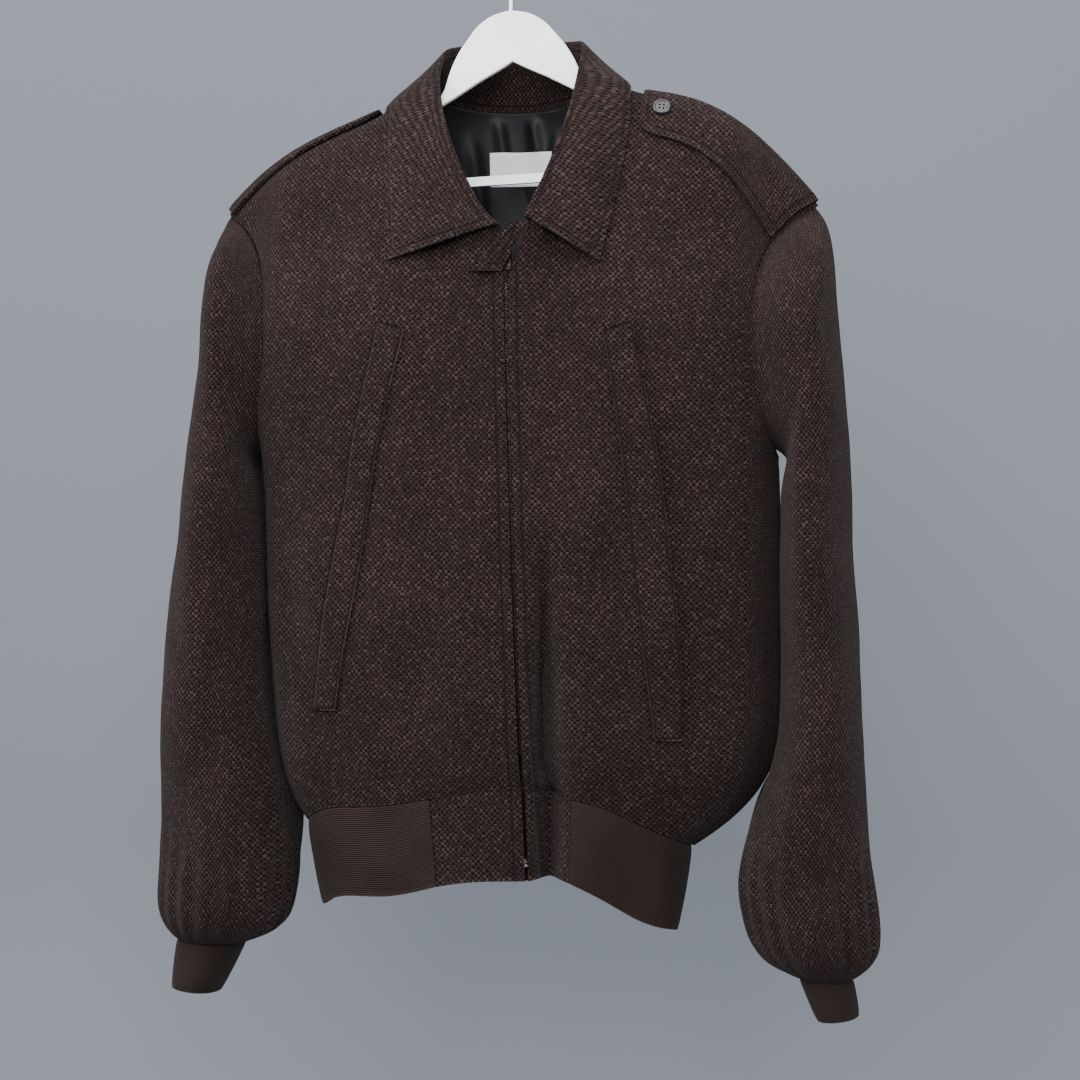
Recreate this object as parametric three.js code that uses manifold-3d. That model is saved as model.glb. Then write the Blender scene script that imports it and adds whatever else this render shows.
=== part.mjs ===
// Wool bomber jacket that hangs on a flat white hanger.
// Millimetres, +X to the right as seen from the front, +Y to the back, +Z up.
// The origin is the inside top of the hook, where a rail carries it.
// Left and right are those of somebody who looks at the front.
import * as THREE from "three";
import { mergeVertices } from "three/addons/utils/BufferGeometryUtils.js";
import Module from "manifold-3d";

const { lerp, clamp, degToRad } = THREE.MathUtils;

// Cloth thicknesses and the gaps between pieces
const WOOL = 2.4;
const RIB = 2.8;
const TAB_WOOL = 3;
const COLLAR_WOOL = 3;
const WELT_WOOL = 2;
const LINING = 1;
const SEAM_GAP = 0.44;
const LAID_GAP = 0.7;

// How finely each piece is cut into facets
const COUNT = {
  frontNeck: 6,
  backNeck: 4,
  shoulder: 8,
  armhole: 10,
  sideSeam: 8,
  gathersPerFacet: 3,
};

// Neck opening, seen from the front. The zip's top is off centre because the neck tab crosses it.
const NECK = {
  left: { pointX: 77, pointZ: -141, centreX: 6, centreZ: -270 },
  right: { pointX: 77, pointZ: -134, centreX: 29, centreZ: -263 },
  frontDepth: 84,
  backDepth: 62,
  backZ: -153,
  liningRows: 9,
  liningGap: 0.4,
};

// Ridge of each shoulder from the neck point to the tip, over the hanger's tilted arms
const SHOULDER = [
  { share: 0, left: -141, right: -134 },
  { share: 0.2, left: -160, right: -149 },
  { share: 0.4, left: -173, right: -155 },
  { share: 0.55, left: -184, right: -167 },
  { share: 0.72, left: -199, right: -189 },
  { share: 0.88, left: -221, right: -220 },
  { share: 1, left: -243, right: -245 },
];

// Armhole seam from the shoulder tip to the underarm, as distances from the middle
const ARMHOLE = [
  { share: 0, leftX: 246, leftZ: -243, rightX: 260, rightZ: -245 },
  { share: 0.12, leftX: 224, leftZ: -261, rightX: 232, rightZ: -263 },
  { share: 0.26, leftX: 210, leftZ: -290, rightX: 213, rightZ: -292 },
  { share: 0.42, leftX: 204, leftZ: -330, rightX: 206, rightZ: -330 },
  { share: 0.58, leftX: 203, leftZ: -367, rightX: 205, rightZ: -367 },
  { share: 0.74, leftX: 206, leftZ: -403, rightX: 211, rightZ: -404 },
  { share: 0.88, leftX: 211, leftZ: -434, rightX: 219, rightZ: -435 },
  { share: 1, leftX: 215, leftZ: -455, rightX: 227, rightZ: -456 },
];

// Side seam from the underarm to the waist seam, where the wool blouses over the rib
const SIDE_SEAM = [
  { share: 0, leftX: 215, leftZ: -455, rightX: 227, rightZ: -456 },
  { share: 0.25, leftX: 212, leftZ: -530, rightX: 229, rightZ: -530 },
  { share: 0.5, leftX: 210, leftZ: -606, rightX: 230, rightZ: -612 },
  { share: 0.7, leftX: 206, leftZ: -668, rightX: 229, rightZ: -676 },
  { share: 0.85, leftX: 199, leftZ: -715, rightX: 219, rightZ: -722 },
  { share: 0.94, leftX: 190, leftZ: -745, rightX: 191, rightZ: -755 },
  { share: 1, leftX: 176, leftZ: -763, rightX: 156, rightZ: -779 },
];

// Waist seam from left to right as seen from the front, and the height of the band under it
const WAIST_SEAM = [
  { x: -180, z: -763, band: 72 },
  { x: -144, z: -746, band: 74 },
  { x: -99, z: -743, band: 75 },
  { x: -45, z: -734, band: 72 },
  { x: 0, z: -727, band: 75 },
  { x: 30, z: -727, band: 74 },
  { x: 58, z: -733, band: 68 },
  { x: 86, z: -739, band: 73 },
  { x: 124, z: -760, band: 76 },
  { x: 162, z: -780, band: 70 },
];

// Half depth of the body in front of the hanger and behind it
const BODY_DEPTH = [
  { z: -850, front: 74, back: 74 },
  { z: -790, front: 80, back: 80 },
  { z: -735, front: 84, back: 84 },
  { z: -705, front: 95, back: 96 },
  { z: -600, front: 99, back: 98 },
  { z: -455, front: 97, back: 94 },
  { z: -350, front: 93, back: 86 },
  { z: -250, front: 86, back: 80 },
  { z: -140, front: 80, back: 76 },
];

const BODY = {
  // Cross section: how square the oval is, and where its middle lies above and at the waist seam
  squareness: 2.3,
  middleX: 6,
  waistMiddleX: -9,
  zipDepth: 75,
  // The cloth rounds over the hanger's arm, then falls away to its full depth
  armRadius: 8,
  fallHeight: 230,
  fallPower: 0.8,
  chestZ: -455,
  waistTopZ: -700,
  waistZ: -770,
};

// How much wider the body's oval is than the armhole, from the shoulder tip to the underarm
const HIDDEN_WIDTH = [
  { share: 0, extra: 30 },
  { share: 0.25, extra: 54 },
  { share: 0.5, extra: 46 },
  { share: 0.8, extra: 22 },
  { share: 1, extra: 0 },
];

// Line of the zip, from under the neck tab to the hem
const ZIP = {
  topX: 9.5,
  topZ: -303,
  hemX: 27,
  hemZ: -802,
  edgeGap: 1.6,
  tapeWidth: 7,
  tapeThickness: 1,
  chainWidth: 5,
  chainThickness: 2.2,
  sliderLength: 15,
  sliderWidth: 9,
  stopLength: 11,
  stopWidth: 7.5,
  stopThickness: 3,
  sliderThickness: 4.5,
  tapeGap: 0.4,
  seat: 0.4,
  narrowWidth: 1.6,
  narrowFromZ: -560,
  narrowToZ: -690,
  footGap: 0.5,
};

// Soft creases. Each runs from one point to another; deep is how far it goes into the body, or out
// of it below 0, and wide its half width. endFade 0 lets it run out through its second end.
const FRONT_CREASES = [
  { x1: 43, z1: -560, x2: 44.5, z2: -830, deep: 45, wide: 6.5, endFade: 0 },
  { x1: 72, z1: -600, x2: 98, z2: -830, deep: -11, wide: 24, endFade: 0 },
  { x1: -78, z1: -590, x2: -48, z2: -745, deep: 9, wide: 17, endFade: 1 },
  { x1: -150, z1: -650, x2: -128, z2: -760, deep: 8, wide: 16, endFade: 1 },
  { x1: 150, z1: -560, x2: 138, z2: -740, deep: 10, wide: 22, endFade: 1 },
  { x1: 120, z1: -205, x2: 188, z2: -330, deep: 13, wide: 26, endFade: 1 },
  { x1: -118, z1: -205, x2: -184, z2: -325, deep: 9, wide: 24, endFade: 1 },
  { x1: -170, z1: -440, x2: -186, z2: -640, deep: 7, wide: 15, endFade: 1 },
];
const BACK_CREASES = [
  { x1: 22, z1: -520, x2: 34, z2: -830, deep: 24, wide: 20, endFade: 0 },
  { x1: -88, z1: -560, x2: -72, z2: -770, deep: 14, wide: 20, endFade: 1 },
  { x1: 118, z1: -540, x2: 104, z2: -760, deep: 12, wide: 20, endFade: 1 },
  { x1: 128, z1: -210, x2: 172, z2: -380, deep: 11, wide: 24, endFade: 1 },
  { x1: -122, z1: -214, x2: -168, z2: -374, deep: 12, wide: 24, endFade: 1 },
  { x1: 160, z1: -470, x2: 176, z2: -650, deep: 7, wide: 16, endFade: 1 },
];

// Sleeve sections under the armhole: the outer and inner ends of each one as seen from the front,
// its half depth, and how far it sits in front of the hanger
const SLEEVES = {
  left: [
    { outX: 250, outZ: -260, inX: 222.5, inZ: -459, depth: 75, forward: 0 },
    { outX: 258, outZ: -298, inX: 221.5, inZ: -468, depth: 79, forward: 0 },
    { outX: 262, outZ: -345, inX: 218.5, inZ: -483, depth: 82, forward: 0 },
    { outX: 270, outZ: -405, inX: 216, inZ: -507, depth: 84, forward: 0 },
    { outX: 280, outZ: -475, inX: 214, inZ: -547, depth: 85, forward: 1 },
    { outX: 289.5, outZ: -545, inX: 212.5, inZ: -592, depth: 84, forward: 2 },
    { outX: 295.5, outZ: -612, inX: 210.5, inZ: -640, depth: 82, forward: 3 },
    { outX: 298.5, outZ: -680, inX: 205.5, inZ: -692, depth: 78, forward: 4 },
    { outX: 300.5, outZ: -745, inX: 193, inZ: -748, depth: 73, forward: 5 },
    { outX: 300.5, outZ: -798, inX: 189, inZ: -800, depth: 68, forward: 6 },
    { outX: 303.5, outZ: -829, inX: 189, inZ: -835, depth: 64, forward: 7 },
    { outX: 298.5, outZ: -850, inX: 201, inZ: -856, depth: 56, forward: 8 },
    { outX: 288, outZ: -863, inX: 229, inZ: -867, depth: 37, forward: 8 },
  ],
  right: [
    { outX: 268, outZ: -264, inX: 236, inZ: -460, depth: 75, forward: 0 },
    { outX: 273, outZ: -300, inX: 235, inZ: -470, depth: 79, forward: 0 },
    { outX: 277, outZ: -347, inX: 232.5, inZ: -485, depth: 82, forward: 0 },
    { outX: 283, outZ: -407, inX: 231.5, inZ: -508, depth: 84, forward: 0 },
    { outX: 287, outZ: -477, inX: 231.8, inZ: -548, depth: 85, forward: 1 },
    { outX: 290, outZ: -547, inX: 232, inZ: -594, depth: 84, forward: 2 },
    { outX: 293, outZ: -614, inX: 232, inZ: -645, depth: 82, forward: 3 },
    { outX: 296, outZ: -682, inX: 230.5, inZ: -696, depth: 78, forward: 4 },
    { outX: 300, outZ: -747, inX: 208.5, inZ: -753, depth: 73, forward: 5 },
    { outX: 305, outZ: -800, inX: 195, inZ: -802, depth: 69, forward: 6 },
    { outX: 310, outZ: -845, inX: 201, inZ: -847, depth: 64, forward: 7 },
    { outX: 308, outZ: -871, inX: 214, inZ: -870, depth: 56, forward: 8 },
    { outX: 289, outZ: -886, inX: 243, inZ: -884, depth: 37, forward: 8 },
  ],
};
const SLEEVE = {
  // Sections from this one on are gathered towards the cuff
  gatheredFrom: 9,
  gatherDepth: 2.4,
  evenFrom: 4,
  roundness: 0.92,
  cleftLean: 0.25,
};

// Soft creases round a sleeve: at a height, at an angle from the outer side towards the front
const SLEEVE_CREASES = [
  { z: -400, angle: 115, deep: 5, wide: 26, high: 44, slant: 0.4 },
  { z: -470, angle: 60, deep: 5, wide: 24, high: 60, slant: 0.2 },
  { z: -610, angle: 100, deep: 6, wide: 22, high: 70, slant: -0.25 },
  { z: -735, angle: 75, deep: 7, wide: 20, high: 52, slant: 0.35 },
  { z: -420, angle: 245, deep: 8, wide: 28, high: 60, slant: -0.4 },
  { z: -640, angle: 270, deep: 7, wide: 24, high: 70, slant: 0.3 },
  { z: -770, angle: 300, deep: 5, wide: 20, high: 40, slant: -0.3 },
];

// Foot of each cuff
const CUFFS = {
  left: { outX: 292, outZ: -903, inX: 251, inZ: -909, depth: 35, forward: 9 },
  right: { outX: 294, outZ: -915, inX: 258, inZ: -919, depth: 34, forward: 9 },
};

// Collar from the back of the neck to the front edge: the fold line and the outer edge of the fall
const COLLAR = {
  left: [
    { share: 0, foldX: 0, foldY: 58, foldZ: -95, edgeX: 0, edgeY: 80, edgeZ: -167 },
    { share: 0.2, foldX: -38, foldY: 46, foldZ: -97, edgeX: -54, edgeY: 70, edgeZ: -165 },
    { share: 0.4, foldX: -58, foldY: 12, foldZ: -107, edgeX: -98, edgeY: 32, edgeZ: -155 },
    { share: 0.5, foldX: -59, foldY: -12, foldZ: -134, edgeX: -105, edgeY: -9, edgeZ: -148 },
    { share: 0.6, foldX: -50, foldY: -35, foldZ: -166, edgeX: -104, edgeY: -34, edgeZ: -182 },
    { share: 0.7, foldX: -38, foldY: -56, foldZ: -198, edgeX: -99, edgeY: -52, edgeZ: -215 },
    { share: 0.8, foldX: -24, foldY: -72, foldZ: -227, edgeX: -95, edgeY: -66, edgeZ: -247 },
    { share: 0.9, foldX: -11, foldY: -82, foldZ: -249, edgeX: -92, edgeY: -76, edgeZ: -272 },
    { share: 1, foldX: 2, foldY: -89, foldZ: -266, edgeX: -90, edgeY: -82, edgeZ: -293 },
  ],
  right: [
    { share: 0, foldX: 0, foldY: 58, foldZ: -95, edgeX: 0, edgeY: 80, edgeZ: -167 },
    { share: 0.2, foldX: 38, foldY: 46, foldZ: -96, edgeX: 54, edgeY: 70, edgeZ: -163 },
    { share: 0.4, foldX: 58, foldY: 12, foldZ: -103, edgeX: 97, edgeY: 32, edgeZ: -146 },
    { share: 0.5, foldX: 58, foldY: -12, foldZ: -130, edgeX: 103, edgeY: -9, edgeZ: -137 },
    { share: 0.6, foldX: 55, foldY: -35, foldZ: -160, edgeX: 105, edgeY: -34, edgeZ: -172 },
    { share: 0.7, foldX: 48, foldY: -56, foldZ: -192, edgeX: 102, edgeY: -52, edgeZ: -206 },
    { share: 0.8, foldX: 39, foldY: -72, foldZ: -221, edgeX: 97, edgeY: -66, edgeZ: -240 },
    { share: 0.9, foldX: 31, foldY: -82, foldZ: -242, edgeX: 91, edgeY: -76, edgeZ: -270 },
    { share: 1, foldX: 26, foldY: -89, foldZ: -259, edgeX: 86, edgeY: -82, edgeZ: -297 },
  ],
  // From this share on the edge of the fall rests on the fronts
  restsFrom: 0.6,
  restGap: 1,
  foldRadius: 5,
  standBulge: 4,
  fallBulge: 4,
};

// Pocket welts: the line of the mouth and the width of the welt, seen from the front
const WELTS = {
  left: { topX: -97, topZ: -342, footX: -157, footZ: -664, bowX: -3, width: 24 },
  right: { topX: 114, topZ: -345, footX: 154, footZ: -686, bowX: 4, width: 24 },
};

const EPAULETTE = {
  startShare: 0.2,
  endShare: 0.985,
  innerHalf: 26,
  outerHalf: 31,
  // How far the middle of each one lies in front of the shoulder ridge
  forward: { left: -18, right: 25 },
  thickness: 3.2,
  lift: 2.7,
  buttonShare: 0.12,
};

const BUTTON = {
  radius: 7.4,
  thickness: 2.6,
  rim: 1.5,
  dish: 0.7,
  bevel: 0.5,
  holeRadius: 0.9,
  holeSpacing: 3.4,
  lift: 0.4,
};

const NECK_TAB = {
  topLeftX: 14,
  topRightX: 28,
  topZ: -264,
  footLeftX: -20,
  footRightX: 7,
  footZ: -304,
  lift: -0.9,
};

const LABEL = { leftX: -29, rightX: 28, topZ: -186, footZ: -215, thickness: 0.8, gap: 0.8 };

// The hanger before it tilts: each arm's edges, measured from the top of the arch
const HANGER_ARM = [
  { x: 0, top: 0, under: -43.5 },
  { x: 14, top: -3, under: -51 },
  { x: 28, top: -11, under: -58 },
  { x: 38, top: -22.5, under: -63.5 },
  { x: 46, top: -33, under: -68 },
  { x: 54, top: -48, under: -72.5 },
  { x: 62, top: -67.5, under: -76.5 },
  { x: 77, top: -75, under: -87 },
  { x: 112, top: -89, under: -105 },
  { x: 150, top: -102, under: -116.5 },
  { x: 178, top: -114, under: -127 },
  { x: 203, top: -130.5, under: -138.5 },
];
const HANGER = {
  topZ: -75,
  tilt: degToRad(2.6),
  thickness: 7,
  bevel: 1.2,
  footX: 210,
  footTop: -140,
  footUnder: -148,
  barZ: -143,
  barHeight: 7.6,
  barThickness: 6,
  hookRadius: 20,
  wireRadius: 1.5,
  hookStart: degToRad(-55),
  hookTurn: degToRad(235),
  seat: 0.3,
  barGap: 0.35,
  archX: 70,
  archSteps: 20,
};

const COLOURS = {
  wool: { color: 0x3a2a27, roughness: 0.95, metalness: 0 },
  rib: { color: 0x33261f, roughness: 0.85, metalness: 0 },
  lining: { color: 0x17171c, roughness: 0.35, metalness: 0 },
  label: { color: 0xe9e9ee, roughness: 0.7, metalness: 0 },
  horn: { color: 0x25272b, roughness: 0.3, metalness: 0 },
  zipTape: { color: 0x1d1614, roughness: 0.9, metalness: 0 },
  metal: { color: 0x5c554e, roughness: 0.35, metalness: 1 },
  hanger: { color: 0xeeeef0, roughness: 0.4, metalness: 0 },
};

const jacket = new THREE.Group();

function add(name, geometry, finish) {
  const mesh = new THREE.Mesh(geometry, new THREE.MeshStandardMaterial(COLOURS[finish]));
  mesh.name = name;
  jacket.add(mesh);
  return mesh;
}

// A smooth curve through the named column of a table, as a function of its key column
function through(rows, key, name) {
  const at = rows.map((row) => row[key]);
  const value = rows.map((row) => row[name]);
  const chord = value.slice(1).map((v, i) => (v - value[i]) / (at[i + 1] - at[i]));
  const slope = value.map((_, i) => {
    if (i === 0) return chord[0];
    if (i === value.length - 1) return chord[i - 1];
    const product = chord[i - 1] * chord[i];
    return product <= 0 ? 0 : (2 * product) / (chord[i - 1] + chord[i]);
  });
  return (key0) => {
    let i = 0;
    while (i < at.length - 2 && key0 > at[i + 1]) i += 1;
    const step = at[i + 1] - at[i];
    const t = clamp((key0 - at[i]) / step, 0, 1);
    const rise = t * t * (3 - 2 * t);
    const bend = slope[i] * t * (1 - t) ** 2 - slope[i + 1] * t * t * (1 - t);
    return lerp(value[i], value[i + 1], rise) + bend * step;
  };
}

const smooth = (t) => THREE.MathUtils.smoothstep(t, 0, 1);
const sideSign = (side) => (side === "left" ? -1 : 1);

// A cloth surface: rows of vertices, each with its place, the way its outside faces and the small
// move that opens the seams it lies on. The rows of a tube close on themselves.
function surface(rows, { closed = false, flip = false } = {}) {
  const grid = rows.map((row) =>
    row.map((p) => ({ p, n: new THREE.Vector3(), move: new THREE.Vector3() })),
  );
  grid.closed = closed;
  grid.forEach((row, r) => {
    const steps = closed ? row.length : row.length - 1;
    row.forEach((vertex, c) => {
      const share = c / steps;
      const across = pointAlong(grid[Math.min(r + 1, grid.length - 1)], share, closed).sub(
        pointAlong(grid[Math.max(r - 1, 0)], share, closed),
      );
      const along = pointAlong(row, share + 1 / steps, closed).sub(
        pointAlong(row, share - 1 / steps, closed),
      );
      vertex.n.crossVectors(along, across).normalize();
      if (flip) vertex.n.negate();
    });
  });
  return grid;
}

// The point at a share of the way along a row of vertices
function pointAlong(row, share, closed) {
  const steps = closed ? row.length : row.length - 1;
  const at = closed ? ((share % 1) + 1) % 1 : clamp(share, 0, 1);
  const from = Math.min(Math.floor(at * steps + 1e-9), closed ? steps : steps - 1);
  const next = row[(from + 1) % row.length];
  return row[from % row.length].p.clone().lerp(next.p, at * steps - from);
}

// Opens a seam: both sides get the same wall direction and move half the seam gap apart.
// Each seam vertex names the vertices that meet there on sides a and b, and a vertex further in.
function sew(seam, closed = false) {
  const mean = (list) =>
    list.reduce((sum, v) => sum.add(v.p), new THREE.Vector3()).divideScalar(list.length);
  const at = (k) =>
    seam[closed ? (k + seam.length) % seam.length : clamp(k, 0, seam.length - 1)].a[0].p;
  const walls = seam.map(({ aIn, bIn }, k) => {
    const along = at(k + 1).clone().sub(at(k - 1)).normalize();
    const across = mean(bIn).sub(mean(aIn));
    return { along, across, n: new THREE.Vector3().crossVectors(along, across).normalize() };
  });
  const votes = seam.reduce((sum, { a, b }, k) => sum + walls[k].n.dot(a[0].n) + walls[k].n.dot(b[0].n), 0);
  // Each direction leans towards its neighbours', so that the walls twist little along the seam
  const lean = (k) => walls[closed ? (k + walls.length) % walls.length : clamp(k, 0, walls.length - 1)].n;
  const normals = walls.map(({ n }, k) =>
    n.clone().multiplyScalar(2).add(lean(k - 1)).add(lean(k + 1)).normalize(),
  );
  seam.forEach(({ a, b }, k) => {
    const { along, across } = walls[k];
    const n = normals[k].multiplyScalar(Math.sign(votes));
    const apart = new THREE.Vector3().crossVectors(n, along).normalize();
    if (apart.dot(across) < 0) apart.negate();
    apart.multiplyScalar(SEAM_GAP / 2);
    for (const vertex of a) {
      vertex.n.copy(n);
      vertex.move.sub(apart);
    }
    for (const vertex of b) {
      vertex.n.copy(n);
      vertex.move.add(apart);
    }
  });
}

// Triangles between two rows of vertex numbers. Rows of the same length are split along the
// shorter diagonals, so that both walls of a seam are split alike.
function strip(first, second, closed, put, distance) {
  const firstSteps = closed ? first.length : first.length - 1;
  const secondSteps = closed ? second.length : second.length - 1;
  const even = firstSteps === secondSteps;
  let i = 0;
  let j = 0;
  while (i < firstSteps || j < secondSteps) {
    const a = first[i % first.length];
    const b = second[j % second.length];
    const nextA = first[(i + 1) % first.length];
    const nextB = second[(j + 1) % second.length];
    if (even) {
      if (distance(b, nextA) <= distance(a, nextB)) {
        put(a, b, nextA);
        put(nextA, b, nextB);
      } else {
        put(a, b, nextB);
        put(a, nextB, nextA);
      }
      i += 1;
      j += 1;
    } else if (j >= secondSteps || (i < firstSteps && (i + 0.5) / firstSteps <= (j + 0.5) / secondSteps)) {
      put(a, b, nextA);
      i += 1;
    } else {
      put(a, b, nextB);
      j += 1;
    }
  }
}

// A cloth wall: the surface raised by lift, and its own thickness behind it
function wall(grid, thickness, lift = 0) {
  const places = [];
  const index = [];
  const put = (a, b, c) => index.push(a, b, c);
  const distance = (a, b) => places[a].distanceTo(places[b]);
  const join = (first, second, closed) => strip(first, second, closed, put, distance);
  const layer = (height) =>
    grid.map((row) =>
      row.map((v) => places.push(v.p.clone().add(v.move).addScaledVector(v.n, height)) - 1),
    );
  const outside = layer(lift);
  const inside = layer(lift - thickness);
  const last = grid.length - 1;
  for (let r = 0; r < last; r += 1) {
    join(outside[r], outside[r + 1], grid.closed);
    join(inside[r + 1], inside[r], grid.closed);
  }
  join(inside[0], outside[0], grid.closed);
  join(outside[last], inside[last], grid.closed);
  if (!grid.closed) {
    const head = (rows) => rows.map((row) => row[0]);
    const tail = (rows) => rows.map((row) => row[row.length - 1]);
    join(head(outside), head(inside), false);
    join(tail(inside), tail(outside), false);
  }
  return solid(places.flatMap((p) => p.toArray()), index);
}

// A geometry with its faces turned outwards
function solid(positions, index) {
  const corner = (k) => new THREE.Vector3().fromArray(positions, 3 * k);
  let volume = 0;
  for (let i = 0; i < index.length; i += 3) {
    volume += corner(index[i]).dot(corner(index[i + 1]).cross(corner(index[i + 2])));
  }
  if (volume < 0) index.reverse();
  const geometry = new THREE.BufferGeometry();
  geometry.setAttribute("position", new THREE.Float32BufferAttribute(positions, 3));
  geometry.setIndex(index);
  geometry.computeVertexNormals();
  return geometry;
}

// Body panels

const waistSeamZ = through(WAIST_SEAM, "x", "z");
const bandHeight = through(WAIST_SEAM, "x", "band");
const bodyDepth = {
  front: through(BODY_DEPTH, "z", "front"),
  back: through(BODY_DEPTH, "z", "back"),
};
const hiddenWidth = through(HIDDEN_WIDTH, "share", "extra");
const zipX = (z) => lerp(ZIP.topX, ZIP.hemX, (z - ZIP.topZ) / (ZIP.hemZ - ZIP.topZ));

// The right front's edge swings over to the neck tab above the zip
function frontEdgeX(side, z) {
  const edge = zipX(z) + sideSign(side) * ZIP.edgeGap;
  const swing = NECK.right.centreX - zipX(NECK.right.centreZ) - ZIP.edgeGap;
  const above = (z - ZIP.topZ + 8) / (NECK.right.centreZ - ZIP.topZ + 8);
  return side === "right" ? edge + swing * smooth(above) : edge;
}

function creaseDepth(creases, x, z) {
  let total = 0;
  for (const { x1, z1, x2, z2, deep, wide, endFade } of creases) {
    const run = new THREE.Vector2(x2 - x1, z2 - z1);
    const from = new THREE.Vector2(x - x1, z - z1);
    const t = from.dot(run) / run.lengthSq();
    const off = from.addScaledVector(run, -t).length() / wide;
    const fade = smooth(t * 2) * (endFade ? smooth((1 - t) * 2.5) : 1);
    total += deep * fade * Math.exp(-off * off);
  }
  return total;
}

const onEdge = (rows, side) => {
  const x = through(rows, "share", `${side}X`);
  const z = through(rows, "share", `${side}Z`);
  return (share) => new THREE.Vector2(sideSign(side) * x(share), z(share));
};

// Fills a patch between its top and bottom rows and its two side edges
function patch(top, bottom, centre, side, rowShares) {
  const count = top.length - 1;
  return rowShares.map((v) =>
    top.map((from, i) => {
      const u = i / count;
      const straight = from.clone().lerp(bottom[i], v);
      const centreOff = centre(v).sub(top[0].clone().lerp(bottom[0], v));
      const sideOff = side(v).sub(top[count].clone().lerp(bottom[count], v));
      return straight.addScaledVector(centreOff, (1 - u) ** 3).addScaledVector(sideOff, u ** 4);
    }),
  );
}

// Half of the front or back, from the middle to the side seam
function halfPanel(side, face) {
  const sign = sideSign(side);
  const neckCount = face === "front" ? COUNT.frontNeck : COUNT.backNeck;
  const columns = neckCount + COUNT.shoulder;
  const faceSign = face === "front" ? -1 : 1;
  const neck = NECK[side];
  const creases = face === "front" ? FRONT_CREASES : BACK_CREASES;
  const armhole = onEdge(ARMHOLE, side);
  const seam = onEdge(SIDE_SEAM, side);
  const middle = face === "front" ? (z) => frontEdgeX(side, z) : () => 0;
  const shoulderZ = through(SHOULDER, "share", side);

  // Columns lie closer together at the middle of the front and at the sides
  const columnShare = (i) => {
    const t = i / columns;
    const pull = face === "front" ? 0.09 * Math.sin(2 * Math.PI * t) : -0.07 * Math.sin(Math.PI * t);
    return t - pull;
  };

  const top = [];
  const topDepth = [];
  const centre = face === "front" ? [neck.centreX, neck.centreZ] : [0, NECK.backZ];
  const neckDepth = face === "front" ? NECK.frontDepth : NECK.backDepth;
  for (let i = 0; i <= columns; i += 1) {
    if (i <= neckCount) {
      const turn = (1 - i / neckCount) * (Math.PI / 2);
      const x = lerp(centre[0], sign * neck.pointX, Math.cos(turn));
      const z = lerp(neck.pointZ, centre[1], Math.sin(turn) ** 1.2);
      top.push(new THREE.Vector2(x, z));
      topDepth.push(neckDepth * Math.sin(turn));
    } else {
      const share = (i - neckCount) / COUNT.shoulder;
      const x = lerp(neck.pointX, ARMHOLE[0][`${side}X`], share);
      top.push(new THREE.Vector2(sign * x, shoulderZ(share)));
      topDepth.push(0);
    }
  }
  const across = (edgeX, sidePoint, z) =>
    top.map((_, i) => new THREE.Vector2(lerp(edgeX, sidePoint.x, columnShare(i)), z));
  const chest = across(middle(BODY.chestZ), armhole(1), BODY.chestZ);
  const waist = across(middle(waistSeamZ(0)), seam(1), 0);
  for (const p of waist) p.y = waistSeamZ(p.x);
  chest[columns].copy(armhole(1));
  waist[columns].copy(seam(1));

  const middleLine = (fromZ, toZ) => (v) => {
    const z = lerp(fromZ, toZ, v);
    return new THREE.Vector2(middle(z), z);
  };
  const upperShares = Array.from({ length: COUNT.armhole + 1 }, (_, j) => (j / COUNT.armhole) ** 1.5);
  const lowerShares = Array.from(
    { length: COUNT.sideSeam },
    (_, j) => 1 - (1 - (j + 1) / COUNT.sideSeam) ** 1.4,
  );
  const upper = patch(top, chest, middleLine(centre[1], BODY.chestZ), armhole, upperShares);
  const lower = patch(chest, waist, middleLine(BODY.chestZ, waist[0].y), seam, lowerShares);

  const place = (point, i, row, v, isUpper) => {
    const sidePoint = row[columns];
    const low = smooth((BODY.waistTopZ - point.y) / (BODY.waistTopZ - BODY.waistZ));
    const middleX = lerp(BODY.middleX, BODY.waistMiddleX, low);
    const extra = isUpper ? hiddenWidth(v) : 0;
    const offCentre = clamp(
      Math.abs(point.x - middleX) / (Math.abs(sidePoint.x - middleX) + extra),
      0,
      1,
    );
    const oval = (1 - offCentre ** BODY.squareness) ** (1 / BODY.squareness);
    const full = bodyDepth[face](point.y) * oval;
    const drop = top[i].y - point.y;
    const reach = Math.min(BODY.fallHeight, top[i].y - BODY.chestZ);
    const fall = Math.sin((Math.PI / 2) * clamp(drop / reach, 0, 1)) ** BODY.fallPower;
    const overArm = Math.sqrt(1 - (1 - clamp(drop / BODY.armRadius, 0, 1)) ** 2) * BODY.armRadius;
    const start = Math.max(topDepth[i], overArm);
    const depth = isUpper ? lerp(start, full, full > start ? fall : v ** 4) : full;
    const nearSide = 1 - (i / columns) ** 6;
    const inside = creaseDepth(creases, point.x, point.y) * nearSide * smooth(drop / 40);
    return new THREE.Vector3(point.x, faceSign * Math.max(depth - inside * Math.min(1, depth / 30), 0), point.y);
  };
  return [
    ...upper.map((row, r) => row.map((p, i) => place(p, i, row, upperShares[r], true))),
    ...lower.map((row) => row.map((p, i) => place(p, i, row, 1, false))),
  ];
}

const fronts = {
  left: surface(halfPanel("left", "front"), { flip: true }),
  right: surface(halfPanel("right", "front")),
};
const backLeft = halfPanel("left", "back");
const backRight = halfPanel("right", "back");
const back = surface(
  backLeft.map((row, r) => [...row.slice(1).reverse(), ...backRight[r]]),
  { flip: true },
);

const rowCount = COUNT.armhole + COUNT.sideSeam;
const frontColumns = COUNT.frontNeck + COUNT.shoulder;
const backColumns = COUNT.backNeck + COUNT.shoulder;
// A vertex of the back, counted from its middle towards one side
const backVertex = (side, r, c) => back[r][backColumns + sideSign(side) * c];

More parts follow.
